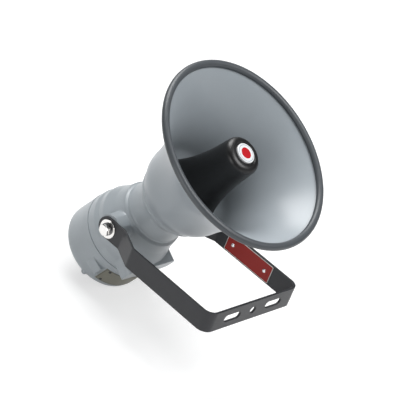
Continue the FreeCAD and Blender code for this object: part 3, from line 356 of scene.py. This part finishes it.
# Red plate: thin anodised sheet with rounded corners and a pale printed edge, left blank, and
# fixed flat to the right arm's inner face by two domed aluminium rivets.
plate_low, plate_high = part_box("red_plate")
bpy.ops.mesh.primitive_cube_add(size=1, location=(plate_low + plate_high) / 2, scale=plate_high - plate_low)
red_plate = bpy.context.active_object
red_plate.name = "riveted_red_plate"
bpy.ops.object.transform_apply(location=True, rotation=True, scale=True)
bpy.ops.object.mode_set(mode="EDIT")
select_where("edges", lambda e: abs(e.verts[0].co.x - e.verts[1].co.x) > 1e-5)
bpy.ops.mesh.bevel(offset=0.0015, segments=6, affect="EDGES")
select_where("faces", lambda f: f.normal.x < -0.9)
bpy.ops.mesh.inset(thickness=0.0007)
bpy.ops.mesh.inset(thickness=0.0002, depth=-0.00005)
bpy.ops.object.mode_set(mode="OBJECT")
red_ink = finish("red_anodised", (0.36, 0.024, 0.019), 0.4, grain=2500, depth=0.00001, mottle=0.1, specular=0.3)
pale_edge = finish("pale_plate_edge", (0.62, 0.6, 0.57), 0.45, grain=2500, depth=0.00001)
red_plate.data.materials.append(pale_edge)
red_plate.data.materials.append(red_ink)
widest = max(red_plate.data.polygons, key=lambda face: face.area * (face.normal.x < 0))
widest.material_index = 1
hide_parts("red_plate")
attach(red_plate, "bracket")
red_plate.select_set(False)

rivet_low, rivet_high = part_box("red_plate_rivets")
rivet_radius = 0.0027
rivet_metal = finish("rivet_aluminium", (0.75, 0.76, 0.77), 0.25, 1.0, grain=1800, depth=0.00002)
for rivet_number, rivet_y in enumerate((rivet_low.y + 0.0016, rivet_high.y - 0.0016)):
    head_place = (plate_low.x, rivet_y, 0)
    bpy.ops.mesh.primitive_uv_sphere_add(segments=32, ring_count=16, radius=rivet_radius, location=head_place)
    rivet = bpy.context.active_object
    rivet.name = "rivet_" + str(rivet_number + 1)
    bpy.ops.object.transform_apply(location=True, rotation=True, scale=True)
    bpy.ops.object.mode_set(mode="EDIT")
    bpy.ops.transform.resize(value=(0.4, 1, 1), center_override=head_place)
    select_where("verts", lambda v: v.co.x > plate_low.x + 1e-6)
    bpy.ops.transform.resize(value=(0, 1, 1), center_override=head_place)
    bpy.ops.transform.translate(value=(0.0003, 0, 0))
    bpy.ops.object.mode_set(mode="OBJECT")
    bpy.ops.object.shade_smooth_by_angle(angle=math.radians(40))
    rivet.data.materials.append(rivet_metal)
    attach(rivet, "bracket")
    rivet.select_set(False)
coat(frame["nodes"]["red_plate_rivets"], rivet_metal)


# Housing: aluminium sand casting in one piece, with trunnion bosses, webs and a conduit pad, its
# spigot, bore and front face machined, then sprayed with grey enamel.
horn_axis = Vector(frame["joints"][2]["axis"])
lean = math.atan2(-horn_axis.y, horn_axis.z)


def turned(name, outline, sides=144, sweep=math.tau):
    """A piece turned about the horn's axis from a closed outline of radius and station."""
    bpy.ops.mesh.primitive_plane_add(size=0.001)
    piece = bpy.context.active_object
    piece.name = name
    bpy.ops.object.mode_set(mode="EDIT")
    bpy.ops.mesh.merge(type="CENTER")
    bpy.ops.transform.translate(value=(outline[0][0], 0, outline[0][1]))
    for here, there in zip(outline, list(outline[1:]) + [outline[0]]):
        step = (there[0] - here[0], 0, there[1] - here[1])
        bpy.ops.mesh.extrude_region_move(TRANSFORM_OT_translate={"value": step})
    bpy.ops.mesh.select_all(action="SELECT")
    bpy.ops.mesh.remove_doubles(threshold=1e-6)
    if sweep < math.tau:
        bpy.ops.mesh.edge_face_add()
    bpy.ops.mesh.spin(steps=sides, angle=sweep, center=(0, 0, 0), axis=(0, 0, 1))
    bpy.ops.mesh.select_all(action="SELECT")
    bpy.ops.mesh.remove_doubles(threshold=1e-6)
    bpy.ops.mesh.delete_loose()
    bpy.ops.mesh.select_all(action="SELECT")
    bpy.ops.mesh.normals_make_consistent(inside=False)
    bpy.ops.object.mode_set(mode="OBJECT")
    piece.select_set(False)
    return piece


def onto_horn(piece, body, slot, *nodes):
    """Leans a piece that was made upright about the origin into the horn's place."""
    bpy.ops.object.select_all(action="DESELECT")
    bpy.context.view_layer.objects.active = piece
    piece.select_set(True)
    piece.rotation_euler = (lean, 0, 0)
    piece.location = trunnion
    bpy.ops.object.transform_apply(location=True, rotation=True, scale=True)
    piece.select_set(False)
    if nodes:
        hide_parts(*nodes)
    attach(piece, body)


def join(pieces, name):
    """Joins pieces into the first one."""
    bpy.ops.object.select_all(action="DESELECT")
    for piece in pieces:
        piece.select_set(True)
    bpy.context.view_layer.objects.active = pieces[0]
    bpy.ops.object.join()
    pieces[0].name = name
    pieces[0].select_set(False)
    return pieces[0]


def cast(piece, grain, passes):
    """Gives joined rough shapes one skin with the small fillets of a casting."""
    skin = piece.modifiers.new("skin", "REMESH")
    skin.mode = "VOXEL"
    skin.voxel_size = grain
    ease = piece.modifiers.new("fillets", "SMOOTH")
    ease.factor = 0.5
    ease.iterations = passes
    apply_modifiers(piece)
    return piece


seam = -0.047
band_radius = 0.0600
shell_radius = 0.0574
front_face = 0.062
boss_radius = 0.0185
boss_reach = 0.0684
driver_seat = -0.014
cavity_radius = 0.0475
throat_radius = 0.034
spigot_radius = 0.053
spigot_end = -0.064
allowance = 0.002
collar_front = 0.018

shell = turned("casting", [
    (0, seam - allowance), (band_radius, seam - allowance), (band_radius, -0.033), (shell_radius, -0.027),
    (shell_radius, -0.017), (0.0508, -0.0005), (0.0472, collar_front), (0, collar_front),
])
bpy.ops.mesh.primitive_cylinder_add(
    vertices=96, radius=boss_radius + 0.0003, depth=2 * boss_reach + 2 * allowance, rotation=across
)
bosses = bpy.context.active_object
bosses.select_set(False)
webs = []
web_outline = [(0.0394, 0.0225), (0.0655, 0.0148), (0.0655, -0.004), (0.030, -0.010)]
for web_side in (-1, 1):
    bpy.ops.mesh.primitive_plane_add(size=0.001)
    web = bpy.context.active_object
    bpy.ops.object.mode_set(mode="EDIT")
    bpy.ops.mesh.merge(type="CENTER")
    bpy.ops.transform.translate(value=(web_side * web_outline[0][0], -0.0045, web_outline[0][1]))
    for here, there in zip(web_outline, web_outline[1:] + web_outline[:1]):
        step = (web_side * (there[0] - here[0]), 0, there[1] - here[1])
        bpy.ops.mesh.extrude_region_move(TRANSFORM_OT_translate={"value": step})
    bpy.ops.mesh.select_all(action="SELECT")
    bpy.ops.mesh.remove_doubles(threshold=1e-6)
    bpy.ops.mesh.edge_face_add()
    bpy.ops.mesh.extrude_region_move(TRANSFORM_OT_translate={"value": (0, 0.009, 0)})
    bpy.ops.mesh.select_all(action="SELECT")
    bpy.ops.mesh.normals_make_consistent(inside=False)
    bpy.ops.object.mode_set(mode="OBJECT")
    web.select_set(False)
    webs.append(web)

pad_reach = 0.062
pad_half = 0.046
pad_middle = -0.034
pad_half_width = 0.013
bpy.ops.mesh.primitive_cube_add(
    size=1, location=(0, -0.043, pad_middle), scale=(2 * pad_half, 2 * (pad_reach - 0.043), 2 * pad_half_width)
)
pad = bpy.context.active_object
bpy.ops.object.transform_apply(location=True, rotation=True, scale=True)
bpy.ops.object.mode_set(mode="EDIT")
select_where("edges", lambda e: abs(e.verts[0].co.y - e.verts[1].co.y) > 1e-5)
bpy.ops.mesh.bevel(offset=0.009, segments=10, affect="EDGES")
bpy.ops.object.mode_set(mode="OBJECT")
pad.select_set(False)

casting = cast(join([shell, bosses, pad] + webs, "cast_housing"), 0.0010, 3)
bore = turned("bore", [
    (0, spigot_end - 0.01), (cavity_radius, spigot_end - 0.01), (cavity_radius, driver_seat),
    (throat_radius + 0.002, driver_seat), (throat_radius + 0.002, 0.002), (throat_radius, 0.016),
    (throat_radius, 0.05), (0, 0.05),
])
cut(casting, bore)
for cut_place, cut_depth in ((-0.2 + seam, 0.4), (0.2 + collar_front - 0.0006, 0.4)):
    bpy.ops.mesh.primitive_cube_add(size=cut_depth, location=(0, 0, cut_place))
    plane_cutter = bpy.context.active_object
    plane_cutter.select_set(False)
    cut(casting, plane_cutter)
for boss_side in (-1, 1):
    bpy.ops.mesh.primitive_cube_add(size=0.1, location=(boss_side * (boss_reach + 0.05), 0, 0))
    facing_cutter = bpy.context.active_object
    facing_cutter.select_set(False)
    cut(casting, facing_cutter)
bpy.ops.mesh.primitive_cube_add(size=0.2, location=(0, -pad_reach - 0.1 + 0.0002, 0))
pad_cutter = bpy.context.active_object
pad_cutter.select_set(False)
cut(casting, pad_cutter)
conduit_place = (0, -pad_reach, pad_middle)
cut(casting, long_cutter(0.010, 0.025, conduit_place, along_arms, (0, 0, 0)))
cut(casting, long_cutter(0.0075, 0.060, conduit_place, along_arms, (0, 0, 0)))
cut(casting, long_cutter(0.0048, 2 * boss_reach + 0.01, (0, 0, 0), across, (0, 0, 0)))
casting.select_set(True)
bpy.context.view_layer.objects.active = casting
bpy.ops.object.shade_smooth_by_angle(angle=math.radians(35))
casting.select_set(False)

groove_floor = 0.0436
neck_radius = 0.043
neck_start = 0.0265
flare_start = 0.0445
lip = 0.060
lip_radius = 0.0516
flare = []
for i in range(9):
    share = i / 8
    flare.append((neck_radius + (lip_radius - neck_radius) * share ** 2, flare_start + (lip - flare_start) * share))
neck = turned("neck", [
    (throat_radius, driver_seat), (0.046, driver_seat), (0.046, 0.012), (0.0470, collar_front - 0.0008),
    (0.0466, collar_front), (0.0444, 0.0194), (groove_floor, 0.0202), (groove_floor, 0.0209),
    (0.0440, 0.0217), (0.0444, 0.0226), (0.0443, 0.0234), (0.0437, 0.0246), (neck_radius, neck_start),
] + flare + [
    (lip_radius, front_face), (0.0163, front_face), (0.0163, 0.044), (throat_radius, 0.044),
])
soften(neck, 0.0002, 2, 50)
spigot = turned("spigot", [
    (cavity_radius, spigot_end), (spigot_radius - 0.001, spigot_end), (spigot_radius, spigot_end + 0.001),
    (spigot_radius, -0.0533), (0.0506, -0.0533), (0.0506, -0.0507), (spigot_radius, -0.0507),
    (spigot_radius, seam + 0.001), (cavity_radius, seam + 0.001),
])
soften(spigot, 0.0002, 2, 50)
housing = join([casting, neck, spigot], "cast_housing")
onto_horn(housing, "horn", "housing_paint", "housing")
housing_paint = finish("housing_enamel", (0.40, 0.437, 0.462), 0.34, grain=420, depth=0.00018, mottle=0.06)
coat(housing, housing_paint)


# Trunnion hardware: on each side a hexagon bolt of bright stainless steel through the ear into
# the boss, with a split spring washer and a large flat washer under its head.
bolt_steel = finish("bright_stainless", (0.80, 0.79, 0.77), 0.17, 1.0, grain=700, depth=0.000003, mottle=0.05)
# The spring washers' dark steel is painted shade: its dark colour stands in for the shadow under each bolt head.
spring_steel_painted_shade = finish("spring_steel_painted_shade", (0.16, 0.16, 0.165), 0.3, 1.0, grain=900, depth=0.00001)


def across_horn(piece, side, name, node, material=bolt_steel):
    """Lays a piece made along the horn's axis over to one side, along the trunnion."""
    bpy.ops.object.select_all(action="DESELECT")
    bpy.context.view_layer.objects.active = piece
    piece.select_set(True)
    piece.rotation_euler = (0, side * math.pi / 2, 0)
    bpy.ops.object.transform_apply(location=True, rotation=True, scale=True)
    piece.name = name
    piece.select_set(False)
    onto_horn(piece, "horn", "bolt_steel", node)
    coat(piece, material)


ear_face = 0.07175
flat_washer = 0.0018
lock_washer = 0.0022
head_height = 0.0059
head_flats = 0.0143
head_seat = ear_face + flat_washer + lock_washer
for side_name, side in (("left", -1), ("right", 1)):
    bpy.ops.mesh.primitive_cylinder_add(
        vertices=6, radius=head_flats / math.sqrt(3), depth=head_height,
        location=(0, 0, head_seat + head_height / 2), rotation=(0, 0, math.radians(12)),
    )
    head = bpy.context.active_object
    bpy.ops.object.transform_apply(location=True, rotation=True, scale=True)
    head.select_set(False)
    bpy.ops.mesh.primitive_cone_add(
        vertices=96, radius1=head_flats / 2 + 0.0095, radius2=head_flats / 2 * 0.95, depth=head_height,
        location=(0, 0, head_seat + head_height / 2),
    )
    chamfer = bpy.context.active_object
    bpy.ops.object.transform_apply(location=True, rotation=True, scale=True)
    chamfer.select_set(False)
    cut(head, chamfer, "INTERSECT")
    soften(head, 0.0002, 2, 20)
    thread = [(0, 0.0525), (0.0038, 0.0525)]
    for i in range(12):
        thread += [(0.00476, 0.0533 + i * 0.0015), (0.0041, 0.05405 + i * 0.0015)]
    thread += [(0.00476, 0.0715), (0.00476, head_seat + 0.0005), (0, head_seat + 0.0005)]
    shank = turned("shank", thread, 48)
    across_horn(join([head, shank], "bolt"), side, "hex_bolt_" + side_name, "trunnion_bolt_" + side_name)
    disc = turned("disc", [
        (0.0051, ear_face), (0.013, ear_face), (0.013, ear_face + flat_washer), (0.0051, ear_face + flat_washer),
    ], 96)
    soften(disc, 0.0003, 3, 50)
    across_horn(disc, side, "plain_washer_" + side_name, "flat_washer_" + side_name)
    coil_seat = ear_face + flat_washer
    coil = turned("coil", [
        (0.0051, coil_seat), (0.0086, coil_seat), (0.0086, coil_seat + lock_washer), (0.0051, coil_seat + lock_washer),
    ], 64, math.radians(350))
    soften(coil, 0.0002, 2, 50)
    # The spring washer gets the dark steel that paints the shade under the bolt head.
    across_horn(coil, side, "spring_washer_" + side_name, "lock_washer_" + side_name, spring_steel_painted_shade)


# Rear cover: cast cup that screws over the housing's spigot, with a flat-faced turning lug on
# each side and a small round boss near its rear edge, in the housing's enamel.
cover_radius = 0.0608
cover_rear = -0.1000
cover_corner = 0.013
cover_face = -0.0472
corner_points = []
for i in range(9):
    angle = math.radians(90 * i / 8)
    corner_points.append((
        cover_radius - cover_corner + cover_corner * math.sin(angle),
        cover_rear + cover_corner - cover_corner * math.cos(angle),
    ))
cup = turned("cup", [(0, cover_rear - 0.0004)] + corner_points + [(cover_radius, cover_face + allowance), (0, cover_face + allowance)])
lugs = []
for lug_side in (-1, 1):
    bpy.ops.mesh.primitive_cube_add(size=1, location=(lug_side * 0.0495, -0.0285, -0.0675), scale=(0.0195, 0.0185, 0.0155))
    lug = bpy.context.active_object
    bpy.ops.object.transform_apply(location=True, rotation=True, scale=True)
    bpy.ops.object.mode_set(mode="EDIT")
    select_where("verts", lambda v: v.co.y < -0.03 and abs(v.co.x) > 0.055)
    bpy.ops.transform.translate(value=(-lug_side * 0.0032, 0, 0))
    bpy.ops.object.mode_set(mode="OBJECT")
    lug.select_set(False)
    lugs.append(lug)
    nub_angle = math.radians(27)
    outward = Vector((lug_side * math.cos(nub_angle), -math.sin(nub_angle), 0))
    bpy.ops.mesh.primitive_uv_sphere_add(segments=24, ring_count=16, radius=0.0044, location=outward * 0.0578 + Vector((0, 0, -0.094)))
    nub = bpy.context.active_object
    bpy.ops.object.transform_apply(location=True, rotation=True, scale=True)
    nub.select_set(False)
    lugs.append(nub)
cover = cast(join([cup] + lugs, "screwed_rear_cover"), 0.0010, 3)
cover_hollow = turned("hollow", [
    (0, -0.0935), (0.0475, -0.0935), (0.0515, -0.0895), (0.0515, -0.065), (0.05306, -0.065), (0.05306, 0), (0, 0),
])
cut(cover, cover_hollow)
bpy.ops.mesh.primitive_cube_add(size=0.3, location=(0, 0, cover_face + 0.15))
mouth_cutter = bpy.context.active_object
mouth_cutter.select_set(False)
cut(cover, mouth_cutter)
set_screw_station = -0.0575
cut(cover, long_cutter(0.00253, 0.03, (0.06, 0, set_screw_station), across, (0, 0, 0)))
cover.select_set(True)
bpy.context.view_layer.objects.active = cover
bpy.ops.object.shade_smooth_by_angle(angle=math.radians(35))
cover.select_set(False)
onto_horn(cover, "cover", "housing_paint", "rear_cover")
coat(cover, housing_paint)


black_rubber = finish("o_ring_rubber", (0.012, 0.012, 0.013), 0.5, grain=2000, depth=0.00001)
dark_steel = finish("blackened_steel", (0.05, 0.05, 0.052), 0.4, 0.9, grain=1500)
coat(frame["nodes"]["cover_o_ring"], black_rubber)
coat(frame["nodes"]["cover_set_screw"], dark_steel)


# Name plate: blank etched aluminium sheet rolled to the cover's radius, on its underside, held
# by four small drive screws.
plate_alloy = finish("etched_plate", (0.205, 0.20, 0.162), 0.5, 0.4, grain=1600, depth=0.00003, mottle=0.2)
plate_ink = finish("plate_border_ink", (0.03, 0.03, 0.028), 0.5, grain=1600)
plate_half_angle = math.radians(50)
plate_front = -0.057
plate_rear = -0.085
plate_under = 0.06083
plate_face = 0.06143
line_from_edge = 0.0011
line_width = 0.0005
plate_outline = [(plate_under, plate_rear), (plate_face, plate_rear)]
for from_edge in (line_from_edge, line_from_edge + line_width):
    plate_outline.append((plate_face, plate_rear + from_edge))
for from_edge in (line_from_edge + line_width, line_from_edge):
    plate_outline.append((plate_face, plate_front - from_edge))
plate_outline += [(plate_face, plate_front), (plate_under, plate_front)]
rolled = turned("name_plate", plate_outline, 200, 2 * plate_half_angle)
rolled.name = "rolled_name_plate"
bpy.context.view_layer.objects.active = rolled
rolled.select_set(True)
rolled.rotation_euler = (0, 0, plate_half_angle - math.pi / 2)
bpy.ops.object.transform_apply(location=True, rotation=True, scale=True)
rolled.select_set(False)
soften(rolled, 0.00012, 2, 50)
coat(rolled, plate_alloy)
rolled.data.materials.append(plate_ink)
for face in rolled.data.polygons:
    reach = Vector((face.center.x, face.center.y)).length
    along = abs(math.atan2(face.center.x, -face.center.y))
    from_ends = min(face.center.z - plate_rear, plate_front - face.center.z, (plate_half_angle - along) * plate_face)
    if reach > plate_face - 0.0001 and line_from_edge < from_ends < line_from_edge + line_width:
        face.material_index = 1
onto_horn(rolled, "cover", "plate_alloy", "name_plate")
screw_steel = finish("zinc_plated_screws", (0.45, 0.45, 0.44), 0.35, 1.0, grain=1500)
coat(frame["nodes"]["name_plate_screws"], dark_steel)


# Bell: spun from one aluminium disc, with a flat back, a short collar, a bowl and a flare, then
# sprayed grey. The outline outside is offset by the wall to make the inside.
bell_wall = 0.002
bell_back = 0.063
collar_radius = 0.0536
collar_end = 0.067
bowl_radius = 0.065
bowl_station = 0.090
mouth_radius = 0.129
mouth_station = 0.205
straight_share = 0.2
flare_power = 2.25


def bell_radius(station):
    """Outside radius of the bell at a station from the collar to the mouth."""
    if station <= bowl_station:
        share = (station - collar_end) / (bowl_station - collar_end)
        full = bowl_radius - collar_radius
        return collar_radius + full * (1.35 * share - 0.35 * share ** 2.6)
    share = (station - bowl_station) / (mouth_station - bowl_station)
    rise = straight_share * share + (1 - straight_share) * share ** flare_power
    return bowl_radius + (mouth_radius - bowl_radius) * rise


outside = []
bell_steps = 56
for i in range(bell_steps + 1):
    station = collar_end + (mouth_station - collar_end) * i / bell_steps
    outside.append(Vector((bell_radius(station), station)))
for _ in range(6):
    eased = [outside[0]]
    for before, here, after in zip(outside, outside[1:], outside[2:]):
        eased.append((before + here * 2 + after) / 4)
    outside = eased + [outside[-1]]


def inward(points, distance):
    """A line beside an outline, on the side of the axis."""
    line = []
    for i, here in enumerate(points):
        run = points[min(i + 1, len(points) - 1)] - points[max(i - 1, 0)]
        line.append(here + Vector((-run.y, run.x)).normalized() * distance)
    return line


inside = inward(outside, bell_wall)
bell = turned("spun_bell", [
    (0.0156, bell_back), (collar_radius - 0.001, bell_back), (collar_radius, bell_back + 0.001),
] + [tuple(p) for p in outside] + [tuple(p) for p in reversed(inside)] + [
    (inside[0].x, bell_back + bell_wall), (0.0156, bell_back + bell_wall),
], 192)
bell.select_set(True)
bpy.context.view_layer.objects.active = bell
bpy.ops.object.shade_smooth_by_angle(angle=math.radians(40))
bell.select_set(False)
onto_horn(bell, "horn", "bell_paint", "bell")
bell_paint = finish("bell_enamel", (0.345, 0.38, 0.407), 0.32, grain=1100, depth=0.00004, mottle=0.04, specular=0.5)
coat(bell, bell_paint)
gasket_fibre = finish("gasket_fibre", (0.03, 0.03, 0.032), 0.8, grain=1200, depth=0.00008)
coat(frame["nodes"]["bell_gasket"], gasket_fibre)


# Trim: moulded rubber bead, pushed over the bell's edge, with a lip down each side of the wall.
edge_middle = (outside[-1] + inside[-1]) / 2
edge_run = (outside[-1] - outside[-3]).normalized()
edge_across = Vector((-edge_run.y, edge_run.x))
bead_radius = 0.0050
lip_half = 0.0031
outer_lip = 0.008
inner_lip = 0.0045
trim_outline = []
for i in range(29):
    angle = math.radians(-142 + 284 * i / 28)
    spoke = edge_run * math.cos(angle) + edge_across * math.sin(angle)
    trim_outline.append(edge_middle + spoke * bead_radius)
inner_tip = edge_middle - edge_run * inner_lip
outer_tip = edge_middle - edge_run * outer_lip
slit = bell_wall / 2 + 0.00005
trim_outline += [
    inner_tip + edge_across * lip_half + edge_run * 0.0008, inner_tip + edge_across * (lip_half - 0.0006),
    inner_tip + edge_across * (slit + 0.0003), inner_tip + edge_across * slit + edge_run * 0.0003,
    edge_middle + edge_across * slit, edge_middle - edge_across * slit,
    outer_tip - edge_across * slit + edge_run * 0.0003, outer_tip - edge_across * (slit + 0.0003),
    outer_tip - edge_across * (lip_half - 0.0006), outer_tip - edge_across * lip_half + edge_run * 0.0008,
]
trim = turned("rubber_trim", [tuple(p) for p in trim_outline], 192)
trim.select_set(True)
bpy.context.view_layer.objects.active = trim
bpy.ops.object.shade_smooth_by_angle(angle=math.radians(50))
trim.select_set(False)
onto_horn(trim, "horn", "trim_rubber", "bell_trim")
trim_rubber = finish("trim_rubber", (0.066, 0.074, 0.082), 0.42, grain=900, depth=0.00004, mottle=0.08)
coat(trim, trim_rubber)


# Tone tube and spider: turned aluminium, mostly hidden by the reflector that they carry.
turned_alloy = finish("turned_aluminium", (0.55, 0.56, 0.57), 0.35, 1.0, grain=500, depth=0.00003)
for node in ("tone_tube", "reflector_spider", "driver_cover", "diaphragm_clamp_ring"):
    coat(frame["nodes"][node], turned_alloy)
for node in ("tone_tube_screws", "reflector_screw", "driver_screws", "transformer_screws",
             "terminal_block_screws", "terminal_screws"):
    coat(frame["nodes"][node], screw_steel)


# Reflector: spun aluminium bullet, open behind and closed at the nose, in satin black.
reflector_line = []
for i in range(41):
    share = i / 40
    station = 0.080 + (0.190 - 0.080) * share
    reflector_line.append(Vector((0.0272 + (0.0506 - 0.0272) * (0.12 * (1 - share) + 0.88 * (1 - share) ** 2.35), station)))
reflector_inside = inward(reflector_line, 0.0026)
nose = []
nose_station = 0.207
nose_corner = 0.009
nose_face = 0.0177
for i in range(13):
    angle = math.radians(90 * i / 12)
    nose.append((nose_face + nose_corner * math.cos(angle), nose_station - nose_corner + nose_corner * math.sin(angle)))
dish_depth = 0.0012
nose += [
    (nose_face - 0.0008, nose_station - 0.0001), (nose_face - 0.0018, nose_station - dish_depth),
    (0.0055, nose_station - dish_depth), (0.0055, 0.202), (0.0027, 0.202), (0.0027, 0.166), (0.007, 0.166),
    (0.007, 0.203), (nose_face, 0.203),
]
reflector = turned("bullet_reflector", [tuple(p) for p in reflector_line] + nose + [tuple(p) for p in reversed(reflector_inside)], 144)
reflector.select_set(True)
bpy.context.view_layer.objects.active = reflector
bpy.ops.object.shade_smooth_by_angle(angle=math.radians(40))
reflector.select_set(False)
onto_horn(reflector, "horn", "reflector_paint", "reflector")
reflector_paint = finish("reflector_black", (0.0036, 0.0036, 0.0039), 0.38, grain=1300, depth=0.00003, specular=0.55)
coat(reflector, reflector_paint)


# Badge: round enamelled disc that hides the reflector's screw. It is plain: a red disc on white,
# with a thin grey line round it.
badge_radius = 0.0138
badge_seat = nose_station - dish_depth
badge_face = 0.2086
badge = turned("round_badge", [
    (0, badge_seat), (badge_radius - 0.0002, badge_seat), (badge_radius, badge_seat + 0.0002),
    (badge_radius, badge_face - 0.0006), (badge_radius - 0.0006, badge_face), (0.0119, badge_face),
    (0.0112, badge_face), (0.0078, badge_face), (0, badge_face),
], 96)
badge.select_set(True)
bpy.context.view_layer.objects.active = badge
bpy.ops.object.shade_smooth_by_angle(angle=math.radians(30))
badge.select_set(False)
white_enamel = finish("badge_white", (0.74, 0.75, 0.76), 0.25, grain=2000, depth=0.00001, mottle=0.03)
red_enamel = finish("badge_red", (0.45, 0.010, 0.016), 0.25, grain=2000, depth=0.00001, mottle=0.05)
grey_line = finish("badge_line", (0.24, 0.30, 0.36), 0.3, grain=2000, depth=0.00001)
for material in (white_enamel, red_enamel, grey_line):
    badge.data.materials.append(material)
for face in badge.data.polygons:
    reach = Vector((face.center.x, face.center.y)).length
    if face.normal.z > 0.9 and reach < 0.0078:
        face.material_index = 1
    elif face.normal.z > 0.9 and 0.0112 < reach < 0.0119:
        face.material_index = 2
onto_horn(badge, "horn", "badge_enamel", "badge")


# Inside the housing: the flame arrestor in the bulkhead, the compression driver against its seat,
# and the line transformer and terminals on the driver's back plate.
coat(frame["nodes"]["flame_arrestor_body"], finish("turned_brass", (0.60, 0.42, 0.17), 0.3, 1.0, grain=600))
coat(frame["nodes"]["flame_arrestor_element"], finish("sintered_bronze", (0.36, 0.22, 0.10), 0.6, 0.8, grain=1400, depth=0.0003, mottle=0.3))
coat(frame["nodes"]["driver_gasket"], gasket_fibre)
coat(frame["nodes"]["phase_plug"], finish("phase_plug_moulding", (0.03, 0.03, 0.032), 0.45, grain=1200))
coat(frame["nodes"]["diaphragm"], finish("phenolic_cloth", (0.20, 0.095, 0.04), 0.5, grain=2200, depth=0.0001, mottle=0.25))
coat(frame["nodes"]["voice_coil"], finish("enamelled_copper", (0.50, 0.20, 0.08), 0.3, 1.0, grain=3000, depth=0.0001))
plated_steel = finish("zinc_plated_steel", (0.42, 0.42, 0.40), 0.38, 1.0, grain=800, depth=0.00004, mottle=0.15)
for node in ("driver_top_plate", "driver_back_plate", "transformer_strap"):
    coat(frame["nodes"][node], plated_steel)
coat(frame["nodes"]["driver_magnet"], finish("ferrite", (0.02, 0.02, 0.021), 0.65, 0.2, grain=700, depth=0.0001, mottle=0.2))
coat(frame["nodes"]["transformer_core"], finish("laminations", (0.12, 0.115, 0.11), 0.5, 0.8, grain=2500, depth=0.0001, mottle=0.3))
coat(frame["nodes"]["transformer_winding"], finish("winding_tape", (0.45, 0.30, 0.06), 0.45, grain=900, depth=0.0001, mottle=0.1))
coat(frame["nodes"]["terminal_block"], finish("block_moulding", (0.02, 0.02, 0.02), 0.45, grain=1500))
coat(frame["nodes"]["ground_screw"], finish("green_screw", (0.02, 0.16, 0.05), 0.4, 0.3, grain=1200))

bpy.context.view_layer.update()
bpy.ops.object.select_all(action="DESELECT")
